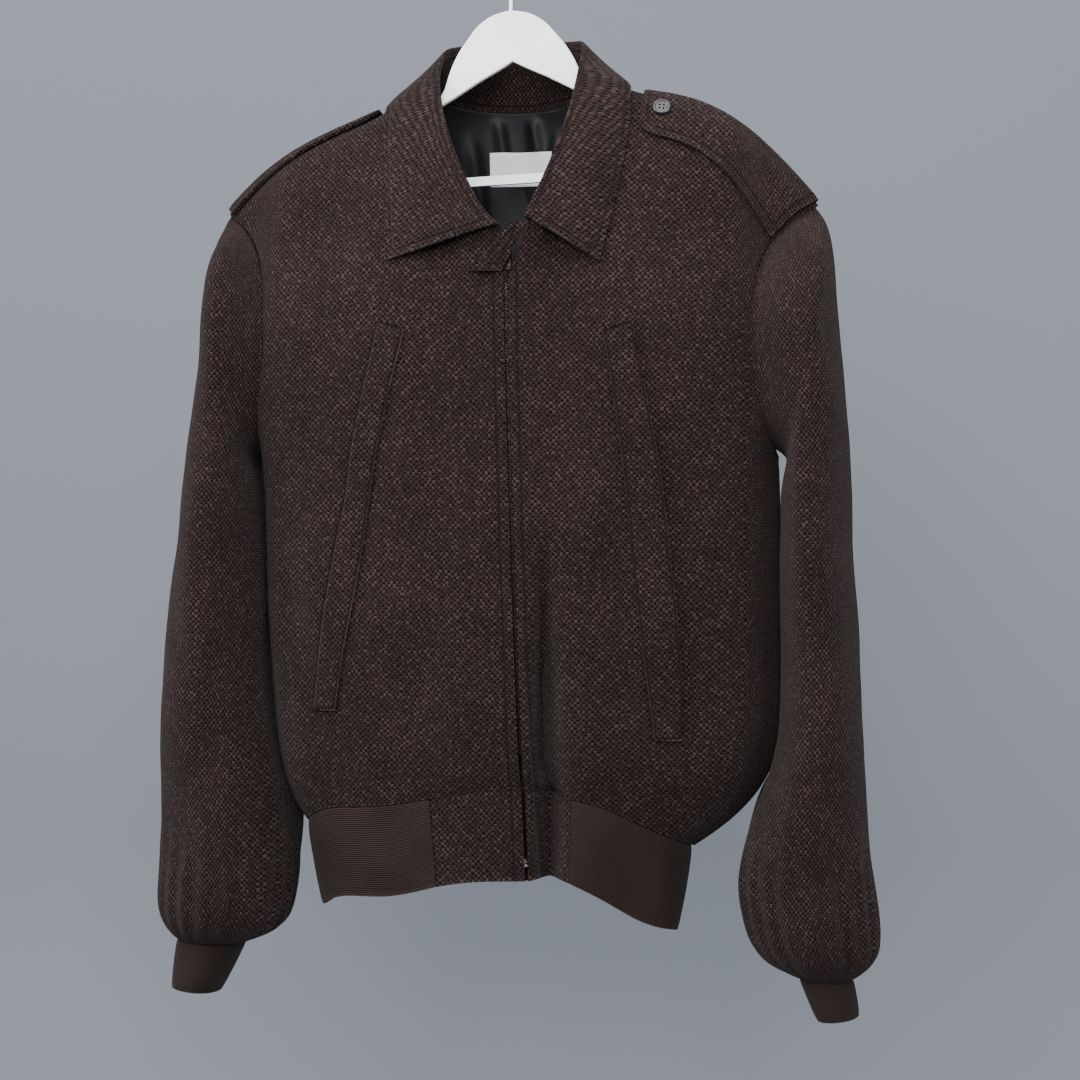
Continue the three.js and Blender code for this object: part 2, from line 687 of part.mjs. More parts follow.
for (const face of [fronts.left, fronts.right, back]) {
  const middleVertex = face[COUNT.armhole][Math.floor(face[0].length / 2)];
  const outwards = face === back ? 1 : -1;
  if (middleVertex.n.y * outwards < 0) face.flat().forEach((v) => v.n.negate());
}

for (const side of ["left", "right"]) {
  const front = fronts[side];
  const shoulder = [];
  for (let i = 0; i <= COUNT.shoulder; i += 1) {
    const c = COUNT.frontNeck + i;
    const b = COUNT.backNeck + i;
    shoulder.push({
      a: [front[0][c]],
      aIn: [front[1][c]],
      b: [backVertex(side, 0, b)],
      bIn: [backVertex(side, 1, b)],
    });
  }
  sew(shoulder);
  const sideSeam = [];
  for (let r = COUNT.armhole; r <= rowCount; r += 1) {
    sideSeam.push({
      a: [front[r][frontColumns]],
      aIn: [front[r][frontColumns - 1]],
      b: [backVertex(side, r, backColumns)],
      bIn: [backVertex(side, r, backColumns - 1)],
    });
  }
  sew(sideSeam);
}

// Sleeves

// The armhole's vertices from the shoulder tip down the front and up the back
function armholeLoop(side) {
  const front = fronts[side];
  const meet = (r) => ({
    a: [front[r][frontColumns], backVertex(side, r, backColumns)],
    aIn: [front[r][frontColumns - 1], backVertex(side, r, backColumns - 1)],
  });
  const loop = [];
  for (let r = 0; r <= COUNT.armhole; r += 1) {
    const both = r === 0 || r === COUNT.armhole;
    const one = { a: [front[r][frontColumns]], aIn: [front[r][frontColumns - 1]] };
    loop.push(both ? meet(r) : one);
  }
  for (let r = COUNT.armhole - 1; r > 0; r -= 1) {
    loop.push({
      a: [backVertex(side, r, backColumns)],
      aIn: [backVertex(side, r, backColumns - 1)],
    });
  }
  return loop;
}

// A point of a sleeve section, at an angle from its outer end round to the front
function onSection(side, section, angle) {
  const sign = sideSign(side);
  const round = (v) => Math.sign(v) * Math.abs(v) ** SLEEVE.roundness;
  const across = round(Math.cos(angle)) / 2;
  return new THREE.Vector3(
    sign * (lerp(section.inX, section.outX, 0.5 + across)),
    -section.forward - section.depth * round(Math.sin(angle)),
    lerp(section.inZ, section.outZ, 0.5 + across),
  );
}

function sleeveCrease(point, angle) {
  let total = 0;
  for (const { z, angle: at, deep, wide, high, slant } of SLEEVE_CREASES) {
    const up = point.z - z;
    const turn = THREE.MathUtils.radToDeg(angle) - at - slant * up;
    total += deep * Math.exp(-((turn / wide) ** 2) - (up / high) ** 2);
  }
  return total;
}

function sleeveRows(side, loop) {
  const sections = SLEEVES[side];
  const ring = loop.map(({ a }) => a[0].p);
  const half = COUNT.armhole;
  // The angle of each vertex, from its distance along the armhole
  const walked = [0];
  ring.forEach((p, i) => walked.push(walked[i] + p.distanceTo(ring[(i + 1) % ring.length])));
  const angles = ring.map((_, i) => {
    const [from, to] = i <= half ? [0, half] : [half, 2 * half];
    const share = (walked[i] - walked[from]) / (walked[to] - walked[from]);
    return Math.PI * (share + (i <= half ? 0 : 1));
  });
  const even = (i) => (Math.PI * i) / half;
  const rows = [ring.map((p) => p.clone())];
  sections.forEach((section, k) => {
    const evenness = smooth(k / SLEEVE.evenFrom);
    const last = sections.length - 1;
    const middle = onSection(side, section, 0).lerp(onSection(side, section, Math.PI), 0.5);
    const at = (angle) => {
      const point = onSection(side, section, angle);
      const inwards = middle.clone().sub(point).normalize();
      const fade = smooth((k + 1) / 3) * smooth((last - k) / 3) * smooth(1.2 + Math.cos(angle));
      return point.addScaledVector(inwards, sleeveCrease(point, angle) * fade);
    };
    const plain = angles.map((angle, i) => at(lerp(angle, even(i), evenness)));
    if (k < SLEEVE.gatheredFrom) {
      rows.push(plain);
      return;
    }
    rows.push(gathered(plain, middle, k === last ? 0 : SLEEVE.gatherDepth));
  });
  return rows;
}

// A ring with more vertices, pushed in and out by turns
function gathered(ring, middle, deep) {
  const per = COUNT.gathersPerFacet;
  return ring.flatMap((p, i) =>
    Array.from({ length: per }, (_, j) => {
      const point = p.clone().lerp(ring[(i + 1) % ring.length], j / per);
      const uneven = 0.7 + 0.3 * Math.sin(i * 2.3);
      const push = (j === 1 ? 1 : -0.5) * deep * uneven;
      return point.addScaledVector(middle.clone().sub(point).normalize(), push);
    }),
  );
}

const sleeves = {};
const cuffs = {};
for (const side of ["left", "right"]) {
  const loop = armholeLoop(side);
  const sleeve = surface(sleeveRows(side, loop), { closed: true });
  sleeves[side] = sleeve;
  faceOutwards(sleeve);
  sew(
    loop.map((vertex, i) => ({ ...vertex, b: [sleeve[0][i]], bIn: [sleeve[1][i]] })),
    true,
  );
  // Under the arm three pieces meet in a narrow cleft, where their walls point down
  const cleft = [...loop[COUNT.armhole].a, sleeve[0][COUNT.armhole]];
  for (const { n } of cleft) n.set(sideSign(side) * SLEEVE.cleftLean, 0, -1).normalize();
  const top = SLEEVES[side][SLEEVES[side].length - 1];
  const foot = CUFFS[side];
  const between = (share) =>
    Object.fromEntries(Object.keys(foot).map((name) => [name, lerp(top[name], foot[name], share)]));
  const steps = sleeve[0].length;
  const ring = (share) =>
    Array.from({ length: steps }, (_, i) => onSection(side, between(share), (2 * Math.PI * i) / steps));
  const cuff = surface([0, 0.35, 0.7, 1].map(ring), { closed: true });
  cuffs[side] = cuff;
  faceOutwards(cuff);
  sewCuff(sleeve, cuff);
}

function faceOutwards(tube) {
  const row = tube[1];
  const middle = row.reduce((sum, v) => sum.add(v.p), new THREE.Vector3()).divideScalar(row.length);
  const quarter = row[Math.floor(row.length / 4)];
  if (quarter.n.dot(quarter.p.clone().sub(middle)) < 0) tube.flat().forEach((v) => v.n.negate());
}

// The sleeve's last row lies on the sides of the cuff's first one, with vertices between them
function sewCuff(sleeve, cuff) {
  const last = sleeve.length - 1;
  const per = COUNT.gathersPerFacet;
  const fine = sleeve[last];
  const coarse = cuff[0];
  sew(
    coarse.map((vertex, i) => ({
      a: [fine[i * per]],
      aIn: [sleeve[last - 1][i * per]],
      b: [vertex],
      bIn: [cuff[1][i]],
    })),
    true,
  );
  fine.forEach((vertex, i) => {
    const from = fine[i - (i % per)];
    const to = fine[(i - (i % per) + per) % fine.length];
    const share = (i % per) / per;
    if (share === 0) return;
    vertex.n.copy(from.n).lerp(to.n, share);
    vertex.move.copy(from.move).lerp(to.move, share);
  });
}

// Waistband

// The seam's vertices from the zip's left edge round the left side, the back and the right side
const seamVertices = [];
for (let c = 0; c < frontColumns; c += 1) seamVertices.push({ side: "left", front: c });
for (let c = backColumns; c > 0; c -= 1) seamVertices.push({ side: "left", back: c });
for (let c = 0; c < backColumns; c += 1) seamVertices.push({ side: "right", back: c });
for (let c = frontColumns; c >= 0; c -= 1) seamVertices.push({ side: "right", front: c });

function panelVertices({ side, front, back: backColumn }, r) {
  const list = [];
  if (front !== undefined) list.push(fronts[side][r][front]);
  if (backColumn !== undefined) list.push(backVertex(side, r, backColumn));
  if (front === frontColumns) list.push(backVertex(side, r, backColumns));
  if (backColumn === backColumns) list.push(fronts[side][r][frontColumns]);
  return list;
}

const waistAbove = seamVertices.map((vertex) => panelVertices(vertex, rowCount));
const waistInside = seamVertices.map((vertex) => panelVertices(vertex, rowCount - 1));
const bandShares = [0, 0.12, 0.5, 1];
const bandPoint = (p, share) => {
  const drawnIn = 1 - 0.07 * share;
  const edge = Math.abs(p.x - zipX(p.z)) < 2 * ZIP.edgeGap && p.y < 0;
  const z = p.z - bandHeight(p.x) * share;
  const middleX = lerp(BODY.waistMiddleX, zipX(p.z), clamp(-p.y / BODY.zipDepth, 0, 1));
  const x = edge ? p.x + zipX(z) - zipX(p.z) : middleX + (p.x - middleX) * drawnIn;
  return new THREE.Vector3(x, p.y * (1 - 0.04 * share), z);
};

// Where the wool tabs end and the rib begins, as columns of the fronts
const TAB_COLUMNS = { left: 6, right: 5 };
const bandStart = TAB_COLUMNS.left;
const bandEnd = seamVertices.length - 1 - TAB_COLUMNS.right;
function bandPiece(from, to) {
  const piece = surface(
    bandShares.map((share) =>
      waistAbove.slice(from, to + 1).map((list) => bandPoint(list[0].p, share)),
    ),
  );
  const vertex = piece[1][1];
  if (vertex.n.y * Math.sign(vertex.p.y) < 0) piece.flat().forEach((v) => v.n.negate());
  return piece;
}
const bandLeft = bandPiece(0, bandStart);
const bandRib = bandPiece(bandStart, bandEnd);
const bandRight = bandPiece(bandEnd, seamVertices.length - 1);

const columnOf = (grid, c) => grid.map((row) => row.at(c));
const sewColumns = (a, ca, caIn, b, cb, cbIn) =>
  sew(
    columnOf(a, ca).map((vertex, r) => ({
      a: [vertex],
      aIn: [a[r].at(caIn)],
      b: [b[r].at(cb)],
      bIn: [b[r].at(cbIn)],
    })),
  );
sewColumns(bandLeft, -1, -2, bandRib, 0, 1);
sewColumns(bandRib, -1, -2, bandRight, 0, 1);

sew(
  seamVertices.map((_, k) => {
    const b = [];
    const bIn = [];
    for (const [piece, from, to] of [
      [bandLeft, 0, bandStart],
      [bandRib, bandStart, bandEnd],
      [bandRight, bandEnd, seamVertices.length - 1],
    ]) {
      if (k >= from && k <= to) {
        b.push(piece[0][k - from]);
        bIn.push(piece[1][k - from]);
      }
    }
    return { a: waistAbove[k], aIn: waistInside[k], b, bIn };
  }),
);

// The walls stand straight at the zip, so that its two edges stay apart
for (const row of [...fronts.left, ...fronts.right, ...bandLeft]) row[0].n.setX(0).normalize();
for (const row of bandRight) row.at(-1).n.setX(0).normalize();

// Collar

// The neck seam's vertices from the left front edge round the back to the right front edge
const neckSeam = [];
for (let c = 0; c < COUNT.frontNeck; c += 1) {
  neckSeam.push({ a: [fronts.left[0][c]], aIn: [fronts.left[1][c]] });
}
neckSeam.push({
  a: [fronts.left[0][COUNT.frontNeck], backVertex("left", 0, COUNT.backNeck)],
  aIn: [fronts.left[1][COUNT.frontNeck], backVertex("left", 1, COUNT.backNeck)],
});
for (let c = COUNT.backNeck - 1; c >= 0; c -= 1) {
  neckSeam.push({ a: [backVertex("left", 0, c)], aIn: [backVertex("left", 1, c)] });
}
for (let c = 1; c < COUNT.backNeck; c += 1) {
  neckSeam.push({ a: [backVertex("right", 0, c)], aIn: [backVertex("right", 1, c)] });
}
neckSeam.push({
  a: [fronts.right[0][COUNT.frontNeck], backVertex("right", 0, COUNT.backNeck)],
  aIn: [fronts.right[1][COUNT.frontNeck], backVertex("right", 1, COUNT.backNeck)],
});
for (let c = COUNT.frontNeck - 1; c >= 0; c -= 1) {
  neckSeam.push({ a: [fronts.right[0][c]], aIn: [fronts.right[1][c]] });
}

function collarSection(seamPoint, side, share) {
  const rows = COLLAR[side];
  const read = (name) => through(rows, "share", name)(share);
  const fold = new THREE.Vector3(read("foldX"), read("foldY"), read("foldZ"));
  const edge = new THREE.Vector3(read("edgeX"), read("edgeY"), read("edgeZ"));
  if (share >= COLLAR.restsFrom) {
    edge.y = faceAt(fronts[side], edge.x, edge.z).y - COLLAR.restGap;
  }
  const down = seamPoint.clone().sub(fold);
  const out = edge.clone().sub(fold);
  const radius = Math.min(COLLAR.foldRadius, down.length() / 3);
  const inner = fold.clone().addScaledVector(down.clone().normalize(), radius);
  const outer = fold.clone().addScaledVector(out.clone().normalize(), radius);
  const away = new THREE.Vector3(fold.x, fold.y, 0).normalize();
  const crown = fold.clone().sub(inner.clone().lerp(outer, 0.5)).multiplyScalar(-0.35).add(fold);
  const along = (from, to, t, bulge) =>
    from.clone().lerp(to, t).addScaledVector(away, bulge * Math.sin(Math.PI * t));
  const standBulge = -Math.min(COLLAR.standBulge, down.length() / 8);
  return [
    seamPoint.clone(),
    along(seamPoint, inner, 0.5, standBulge),
    inner,
    crown,
    outer,
    along(outer, edge, 0.35, COLLAR.fallBulge),
    along(outer, edge, 0.7, COLLAR.fallBulge),
    edge,
  ];
}

const collarStations = neckSeam.map(({ a }, k) => {
  const half = neckSeam.length - 1;
  const fromBack = Math.abs(2 * k - half) / half;
  return collarSection(a[0].p, 2 * k < half ? "left" : "right", fromBack);
});
const collar = surface(collarStations);
const backFall = collar[Math.floor(collar.length / 2)].at(-2);
if (backFall.n.y > 0) collar.flat().forEach((v) => v.n.negate());
sew(
  neckSeam.map((vertex, k) => ({ ...vertex, b: [collar[k][0]], bIn: [collar[k][1]] })),
);

// What lies on a panel

// The outer face of a panel at a place seen from the front or back
function faceAt(grid, x, z) {
  let best;
  for (let r = 0; r < grid.length - 1; r += 1) {
    for (let c = 0; c < grid[r].length - 1; c += 1) {
      const corners = [grid[r][c], grid[r][c + 1], grid[r + 1][c], grid[r + 1][c + 1]].map((v) => v.p);
      for (const [i, j, k] of [[0, 1, 2], [1, 3, 2]]) {
        const [a, b, d] = [corners[i], corners[j], corners[k]];
        const area = (b.x - a.x) * (d.z - a.z) - (d.x - a.x) * (b.z - a.z);
        if (Math.abs(area) < 1e-6) continue;
        const s = ((x - a.x) * (d.z - a.z) - (d.x - a.x) * (z - a.z)) / area;
        const t = ((b.x - a.x) * (z - a.z) - (x - a.x) * (b.z - a.z)) / area;
        const miss = Math.max(-s, -t, s + t - 1);
        if (!best || miss < best.miss) {
          best = { miss, y: a.y + s * (b.y - a.y) + t * (d.y - a.y) };
        }
        if (miss <= 0) return new THREE.Vector3(x, best.y, z);
      }
    }
  }
  return new THREE.Vector3(x, best.y, z);
}

function laid(rows) {
  const grid = surface(rows);
  const middle = grid[Math.floor(grid.length / 2)][0];
  if (middle.n.y > 0) grid.flat().forEach((v) => v.n.negate());
  return grid;
}

function weltRows(side) {
  const welt = WELTS[side];
  const rows = [];
  const steps = 14;
  for (let k = 0; k <= steps; k += 1) {
    const t = k / steps;
    const mouth = lerp(welt.topX, welt.footX, t) + welt.bowX * Math.sin(Math.PI * t);
    const z = lerp(welt.topZ, welt.footZ, t);
    rows.push(
      [0, 0.5, 1].map((w) =>
        faceAt(fronts[side], mouth - sideSign(side) * welt.width * w, z - 8 * w * (1 - t)),
      ),
    );
  }
  return rows;
}

function neckTabRows() {
  const tab = NECK_TAB;
  return [0, 0.33, 0.67, 1].map((t) =>
    [0, 0.5, 1].map((w) => {
      const x = lerp(lerp(tab.topLeftX, tab.footLeftX, t), lerp(tab.topRightX, tab.footRightX, t), w);
      const z = lerp(tab.topZ, tab.footZ, t);
      const on = faceAt(x < zipX(z) ? fronts.left : fronts.right, x, z);
      on.y = Math.min(on.y, faceAt(fronts.left, x, z).y, faceAt(fronts.right, x, z).y);
      return on;
    }),
  );
}

// Across an epaulette: the arc length from the shoulder ridge, forward above 0
function overShoulder(side, share, offset) {
  const column = share * COUNT.shoulder;
  const grid = offset >= 0 ? fronts[side] : null;
  const vertex = (r, c) =>
    grid ? grid[r][COUNT.frontNeck + c].p : backVertex(side, r, COUNT.backNeck + c).p;
  const low = Math.min(Math.floor(column), COUNT.shoulder - 1);
  const at = (r) => vertex(r, low).clone().lerp(vertex(r, low + 1), column - low);
  let left = Math.abs(offset);
  let r = 0;
  while (left > at(r).distanceTo(at(r + 1))) {
    left -= at(r).distanceTo(at(r + 1));
    r += 1;
  }
  return at(r).lerp(at(r + 1), left / at(r).distanceTo(at(r + 1)));
}

function epauletteRows(side) {
  const e = EPAULETTE;
  const shares = [0, 0.03, 0.1, 0.22, 0.36, 0.5, 0.64, 0.78, 0.9, 1];
  return shares.map((t, k) => {
    const share = lerp(e.startShare, e.endShare, t);
    const rounding = k === 0 ? 0.78 : k === 1 ? 0.93 : 1;
    const half = lerp(e.innerHalf, e.outerHalf, t) * rounding;
    // The columns lie closer together at the end where the strip bends over the ridge
    const middle = e.forward[side];
    const spread = [-1, -0.88, -0.74, -0.58, -0.34, 0.1, 1];
    const forwards = Math.sign(middle);
    return spread.map((across) => overShoulder(side, share, middle + forwards * across * half));
  });
}

function epaulette(side) {
  const grid = surface(epauletteRows(side));
  if (grid[5][2].n.z < 0) grid.flat().forEach((v) => v.n.negate());
  return grid;
}

// Zip

const bandTabs = { left: bandLeft, right: bandRight };
const chainTop = ZIP.topZ;
const chainFoot = ZIP.hemZ + ZIP.stopLength + ZIP.footGap;

// A place beside the zip line, on the front or on the tab under it
function besideZip(side, offset, z) {
  const x = zipX(z) + sideSign(side) * offset;
  return faceAt(z > waistSeamZ(x) ? fronts[side] : bandTabs[side], x, z);
}

function zipRows(steps, offsets) {
  return Array.from({ length: steps + 1 }, (_, k) => offsets(lerp(chainTop, chainFoot, k / steps)));
}

// The chain is level across, behind the deeper of the two edges
const chainY = (z) =>
  Math.max(...["left", "right"].map((side) => besideZip(side, ZIP.chainWidth + ZIP.chainThickness, z).y));

// The tape is narrower where the deep crease beside the zip leaves it less room
function tape(side) {
  const inner = ZIP.chainWidth / 2 + ZIP.tapeGap;
  const across = (z) => {
    const low = smooth((ZIP.narrowFromZ - z) / (ZIP.narrowFromZ - ZIP.narrowToZ));
    const width = lerp(ZIP.tapeWidth, ZIP.narrowWidth, low);
    return [0, 0.5, 1].map((w) => {
      const point = besideZip(side, inner + w * width, z);
      return point.setY(Math.max(point.y, chainY(z)));
    });
  };
  const grid = laid(zipRows(16, across));
  for (const { n } of grid.flat()) n.setX(0).normalize();
  return grid;
}

function chainRows() {
  const half = ZIP.chainWidth / 2;
  return zipRows(16, (z) => [-half, half].map((off) => new THREE.Vector3(zipX(z) + off, chainY(z), z)));
}

// A rounded metal block behind the edges, on the zip line
function zipBlock(width, length, thickness, topZ) {
  const z = topZ - length / 2;
  const corner = 1.2;
  const shape = new THREE.Shape();
  const w = width / 2;
  const h = length / 2;
  shape.moveTo(-w + corner, -h).lineTo(w - corner, -h).lineTo(w, -h + corner).lineTo(w, h - corner);
  shape.lineTo(w - corner, h).lineTo(-w + corner, h).lineTo(-w, h - corner).lineTo(-w, -h + corner);
  const geometry = new THREE.ExtrudeGeometry(shape, { depth: thickness, bevelEnabled: false });
  geometry.rotateX(Math.PI / 2).translate(0, thickness, 0);
  const slope = (chainY(z + h) - chainY(z - h)) / length;
  geometry.rotateX(-Math.atan(slope));
  return geometry.translate(zipX(z), chainY(z) + TAB_WOOL + ZIP.seat, z);
}

// Buttons

const wasm = await Module();
wasm.setup();

function toManifold(geometry) {
  const bare = new THREE.BufferGeometry();
  bare.setAttribute("position", geometry.getAttribute("position"));
  bare.setIndex(geometry.getIndex());
  const merged = mergeVertices(bare, 1e-3);
  return new wasm.Manifold(
    new wasm.Mesh({
      numProp: 3,
      vertProperties: merged.getAttribute("position").array,
      triVerts: new Uint32Array(merged.getIndex().array),
    }),
  );
}

function fromManifold(manifold) {
  const mesh = manifold.getMesh();
  const geometry = new THREE.BufferGeometry();
  geometry.setAttribute("position", new THREE.BufferAttribute(new Float32Array(mesh.vertProperties), 3));
  geometry.setIndex(new THREE.BufferAttribute(new Uint32Array(mesh.triVerts), 1));
  const flat = geometry.toNonIndexed();
  flat.computeVertexNormals();
  return flat;
}

// A round button with a raised rim and four holes, its back at z = 0
function buttonGeometry() {
  const { radius, thickness, dish, rim, holeRadius, holeSpacing, bevel } = BUTTON;
  const profile = [
    [0, 0],
    [radius - bevel, 0],
    [radius, bevel],
    [radius, thickness - bevel],
    [radius - bevel, thickness],
    [radius - rim, thickness],
    [radius - rim - dish, thickness - dish],
    [0, thickness - dish],
  ].map(([r, h]) => new THREE.Vector2(r, h));
  const disc = new THREE.LatheGeometry(profile, 28).rotateX(Math.PI / 2);
  let body = toManifold(disc);
  const off = holeSpacing / 2;
  for (const [x, y] of [[off, off], [-off, off], [-off, -off], [off, -off]]) {
    const hole = new THREE.CylinderGeometry(holeRadius, holeRadius, 3 * thickness, 8)
      .rotateX(Math.PI / 2)
      .translate(x, y, 0);
    body = body.subtract(toManifold(hole));
  }
  return fromManifold(body);
}

function button(side, grid) {
  const e = EPAULETTE;
  const share = lerp(e.startShare, e.endShare, e.buttonShare);
  const at = overShoulder(side, share, e.forward[side]);
  const nearest = grid.flat().reduce((best, v) =>
    v.p.distanceTo(at) < best.p.distanceTo(at) ? v : best,
  );
  const turn = new THREE.Quaternion().setFromUnitVectors(new THREE.Vector3(0, 0, 1), nearest.n);
  at.addScaledVector(nearest.n, e.thickness + e.lift + BUTTON.lift);
  return buttonGeometry().applyQuaternion(turn).translate(at.x, at.y, at.z);
}

// Lining and label behind the back's neck edge

const liningGrid = back
  .slice(0, NECK.liningRows)
  .map((row) => row.slice(backColumns - COUNT.backNeck + 1, backColumns + COUNT.backNeck));

function labelRows() {
  const { leftX, rightX, topZ, footZ } = LABEL;
  return [0, 0.5, 1].map((v) =>
    [0, 0.25, 0.5, 0.75, 1].map((w) => faceAt(back, lerp(leftX, rightX, w), lerp(topZ, footZ, v))),
  );
}

// Hanger

function hangerFrame() {
  const { thickness, bevel, footX, footTop, footUnder, archX, archSteps } = HANGER;
  const inner = HANGER_ARM.at(-1).x;
  const top = through(HANGER_ARM, "x", "top");
  const underside = through(HANGER_ARM, "x", "under");
  const places = Array.from({ length: archSteps + 1 }, (_, k) => (archX * k) / archSteps);
  places.push(...HANGER_ARM.map(({ x }) => x).filter((x) => x > archX));
  const overTop = places.map((x) => [x, top(x)]);
  const under = places.map((x) => [x, underside(x)]).reverse();
  const right = [...overTop, [footX, footTop], [footX, footUnder], [inner, footUnder], ...under];
  const left = right.slice(1, -1).map(([x, z]) => [-x, z]).reverse();
  const shape = new THREE.Shape([...right, ...left].map(([x, z]) => new THREE.Vector2(x, z)));
  const geometry = new THREE.ExtrudeGeometry(shape, {
    depth: thickness - 2 * bevel,
    bevelThickness: bevel,
    bevelSize: bevel,
    bevelOffset: -bevel,
    bevelSegments: 2,
  });
  return geometry.translate(0, 0, bevel - thickness / 2).rotateX(Math.PI / 2);
}

function hangerBar() {
  const length = 2 * (HANGER_ARM.at(-1).x - HANGER.barGap);
  return new THREE.BoxGeometry(length, HANGER.barThickness, HANGER.barHeight).translate(0, 0, HANGER.barZ);
}

// The wire climbs from the arch, swings out and runs round the hook's circle
function hookWire() {
  const { hookRadius, wireRadius, hookStart, hookTurn, topZ, seat } = HANGER;
  const radius = hookRadius + wireRadius;
  const foot = topZ + seat;
  const points = [0, 0.5, 0.8].map((t) => new THREE.Vector3(0, 0, lerp(foot, -hookRadius - radius, t)));
  const steps = 14;
  for (let k = 0; k <= steps; k += 1) {
    const angle = hookStart + (hookTurn * k) / steps;
    points.push(new THREE.Vector3(radius * Math.cos(angle), 0, radius * Math.sin(angle) - hookRadius));
  }
  const path = new THREE.CatmullRomCurve3(points, false, "centripetal");
  const wire = new THREE.Shape().absarc(0, 0, wireRadius, 0, 2 * Math.PI);
  return new THREE.ExtrudeGeometry(wire, { steps: 42, curveSegments: 5, extrudePath: path });
}

// Solids of the cloth pieces

for (const side of ["left", "right"]) {
  add(`front_${side}`, wall(fronts[side], WOOL), "wool");
}
add("back", wall(back, WOOL), "wool");
for (const side of ["left", "right"]) {
  add(`sleeve_${side}`, wall(sleeves[side], WOOL), "wool");
  add(`cuff_${side}`, wall(cuffs[side], RIB), "rib");
}
add("band_tab_left", wall(bandLeft, TAB_WOOL), "wool");
add("band_tab_right", wall(bandRight, TAB_WOOL), "wool");
add("band_rib", wall(bandRib, RIB), "rib");
add("collar", wall(collar, COLLAR_WOOL), "wool");
add("neck_tab", wall(laid(neckTabRows()), WOOL, WOOL + NECK_TAB.lift), "wool");
for (const side of ["left", "right"]) {
  add(`welt_${side}`, wall(laid(weltRows(side)), WELT_WOOL, WELT_WOOL + LAID_GAP), "wool");
  const { thickness, lift } = EPAULETTE;
  const grid = epaulette(side);
  add(`epaulette_${side}`, wall(grid, thickness, thickness + lift), "wool");
  add(`button_${side}`, button(side, grid), "horn");
  add(`zip_tape_${side}`, wall(tape(side), ZIP.tapeThickness, -TAB_WOOL - ZIP.seat), "zipTape");
}
add("zip_chain", wall(laid(chainRows()), ZIP.chainThickness, -TAB_WOOL - ZIP.seat), "metal");
add(
  "zip_slider",
  zipBlock(ZIP.sliderWidth, ZIP.sliderLength, ZIP.sliderThickness, chainTop + ZIP.sliderLength + ZIP.footGap),
  "metal",
);
add("zip_stop", zipBlock(ZIP.stopWidth, ZIP.stopLength, ZIP.stopThickness, chainFoot - ZIP.footGap), "metal");
add("lining", wall(liningGrid, LINING, -WOOL - NECK.liningGap), "lining");
const labelLift = WOOL + NECK.liningGap + LINING + LABEL.gap + LABEL.thickness;
add("label", wall(laid(labelRows()), LABEL.thickness, labelLift), "label");

// Solids of the hanger

const hanger = new THREE.Group();
hanger.position.z = HANGER.topZ;
hanger.rotation.y = -HANGER.tilt;
jacket.add(hanger);
hanger.add(add("hanger_frame", hangerFrame(), "hanger"), add("hanger_bar", hangerBar(), "hanger"));
add("hook", hookWire(), "hanger");

export default jacket;
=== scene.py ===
"""Wool bomber jacket on its flat white hanger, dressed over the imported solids.

Metres, +X to the right as seen from the front, +Y to the back, +Z up, with the origin inside the
top of the hook. Left and right are those of somebody who looks at the front.
"""

import logging
import math
from dataclasses import dataclass, field
from enum import Enum
from functools import cached_property

import bmesh
import bpy
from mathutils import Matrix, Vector, noise
from mathutils.bvhtree import BVHTree
from mathutils.kdtree import KDTree


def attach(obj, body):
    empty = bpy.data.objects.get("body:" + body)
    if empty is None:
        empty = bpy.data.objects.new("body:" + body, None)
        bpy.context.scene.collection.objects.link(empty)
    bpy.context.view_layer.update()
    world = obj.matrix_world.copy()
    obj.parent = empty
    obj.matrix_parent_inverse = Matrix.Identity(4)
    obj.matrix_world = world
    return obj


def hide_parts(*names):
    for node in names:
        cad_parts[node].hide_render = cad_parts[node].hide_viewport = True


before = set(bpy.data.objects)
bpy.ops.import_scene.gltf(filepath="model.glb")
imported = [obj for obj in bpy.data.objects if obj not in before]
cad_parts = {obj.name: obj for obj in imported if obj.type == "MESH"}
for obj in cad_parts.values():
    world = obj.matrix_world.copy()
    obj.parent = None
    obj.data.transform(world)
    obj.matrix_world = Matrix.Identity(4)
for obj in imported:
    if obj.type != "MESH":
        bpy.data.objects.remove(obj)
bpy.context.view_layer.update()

log = logging.getLogger("jacket")

MM = 0.001

# Points down the middle of the body, in millimetres
BODY_SPINE = ((0.0, 0.0, -230.0), (0.0, 0.0, -860.0))

# Waves a metre in the cloth's slow and quick unevenness, where the slow ones start, and the
# quick ones' share
SLOW_WAVE = 13.0
QUICK_WAVE = 34.0
SLOW_START = (3.1, 1.7, 0.4)
QUICK_SHARE = 0.45


class Side(Enum):
    """The two sides of the jacket, as seen from the front."""

    LEFT = "left"
    RIGHT = "right"

    @property
    def sign(self) -> int:
        """-1 on the left and 1 on the right, along +X."""
        return -1 if self is Side.LEFT else 1


# Small tools for meshes


def select_only(piece: bpy.types.Object) -> None:
    """Selects one object and makes it the active one."""
    bpy.ops.object.select_all(action="DESELECT")
    piece.select_set(True)
    bpy.context.view_layer.objects.active = piece


def joined_copy(node: str, name: str) -> bpy.types.Object:
    """Copies a solid of the frame and joins its loose triangles into quads.

    Args:
        node: The solid's name in the frame.
        name: The new piece's name.

    Returns:
        The new piece, at the origin.
    """
    piece = bpy.data.objects.new(name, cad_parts[node].data.copy())
    piece.data.name = name
    piece.data.materials.clear()
    bpy.context.scene.collection.objects.link(piece)
    select_only(piece)
    bpy.ops.object.mode_set(mode="EDIT")
    bpy.ops.mesh.select_all(action="SELECT")
    bpy.ops.mesh.remove_doubles(threshold=0.00001)
    wide = math.radians(80)
    bpy.ops.mesh.tris_convert_to_quads(face_threshold=wide, shape_threshold=wide)
    bpy.ops.object.mode_set(mode="OBJECT")
    return piece


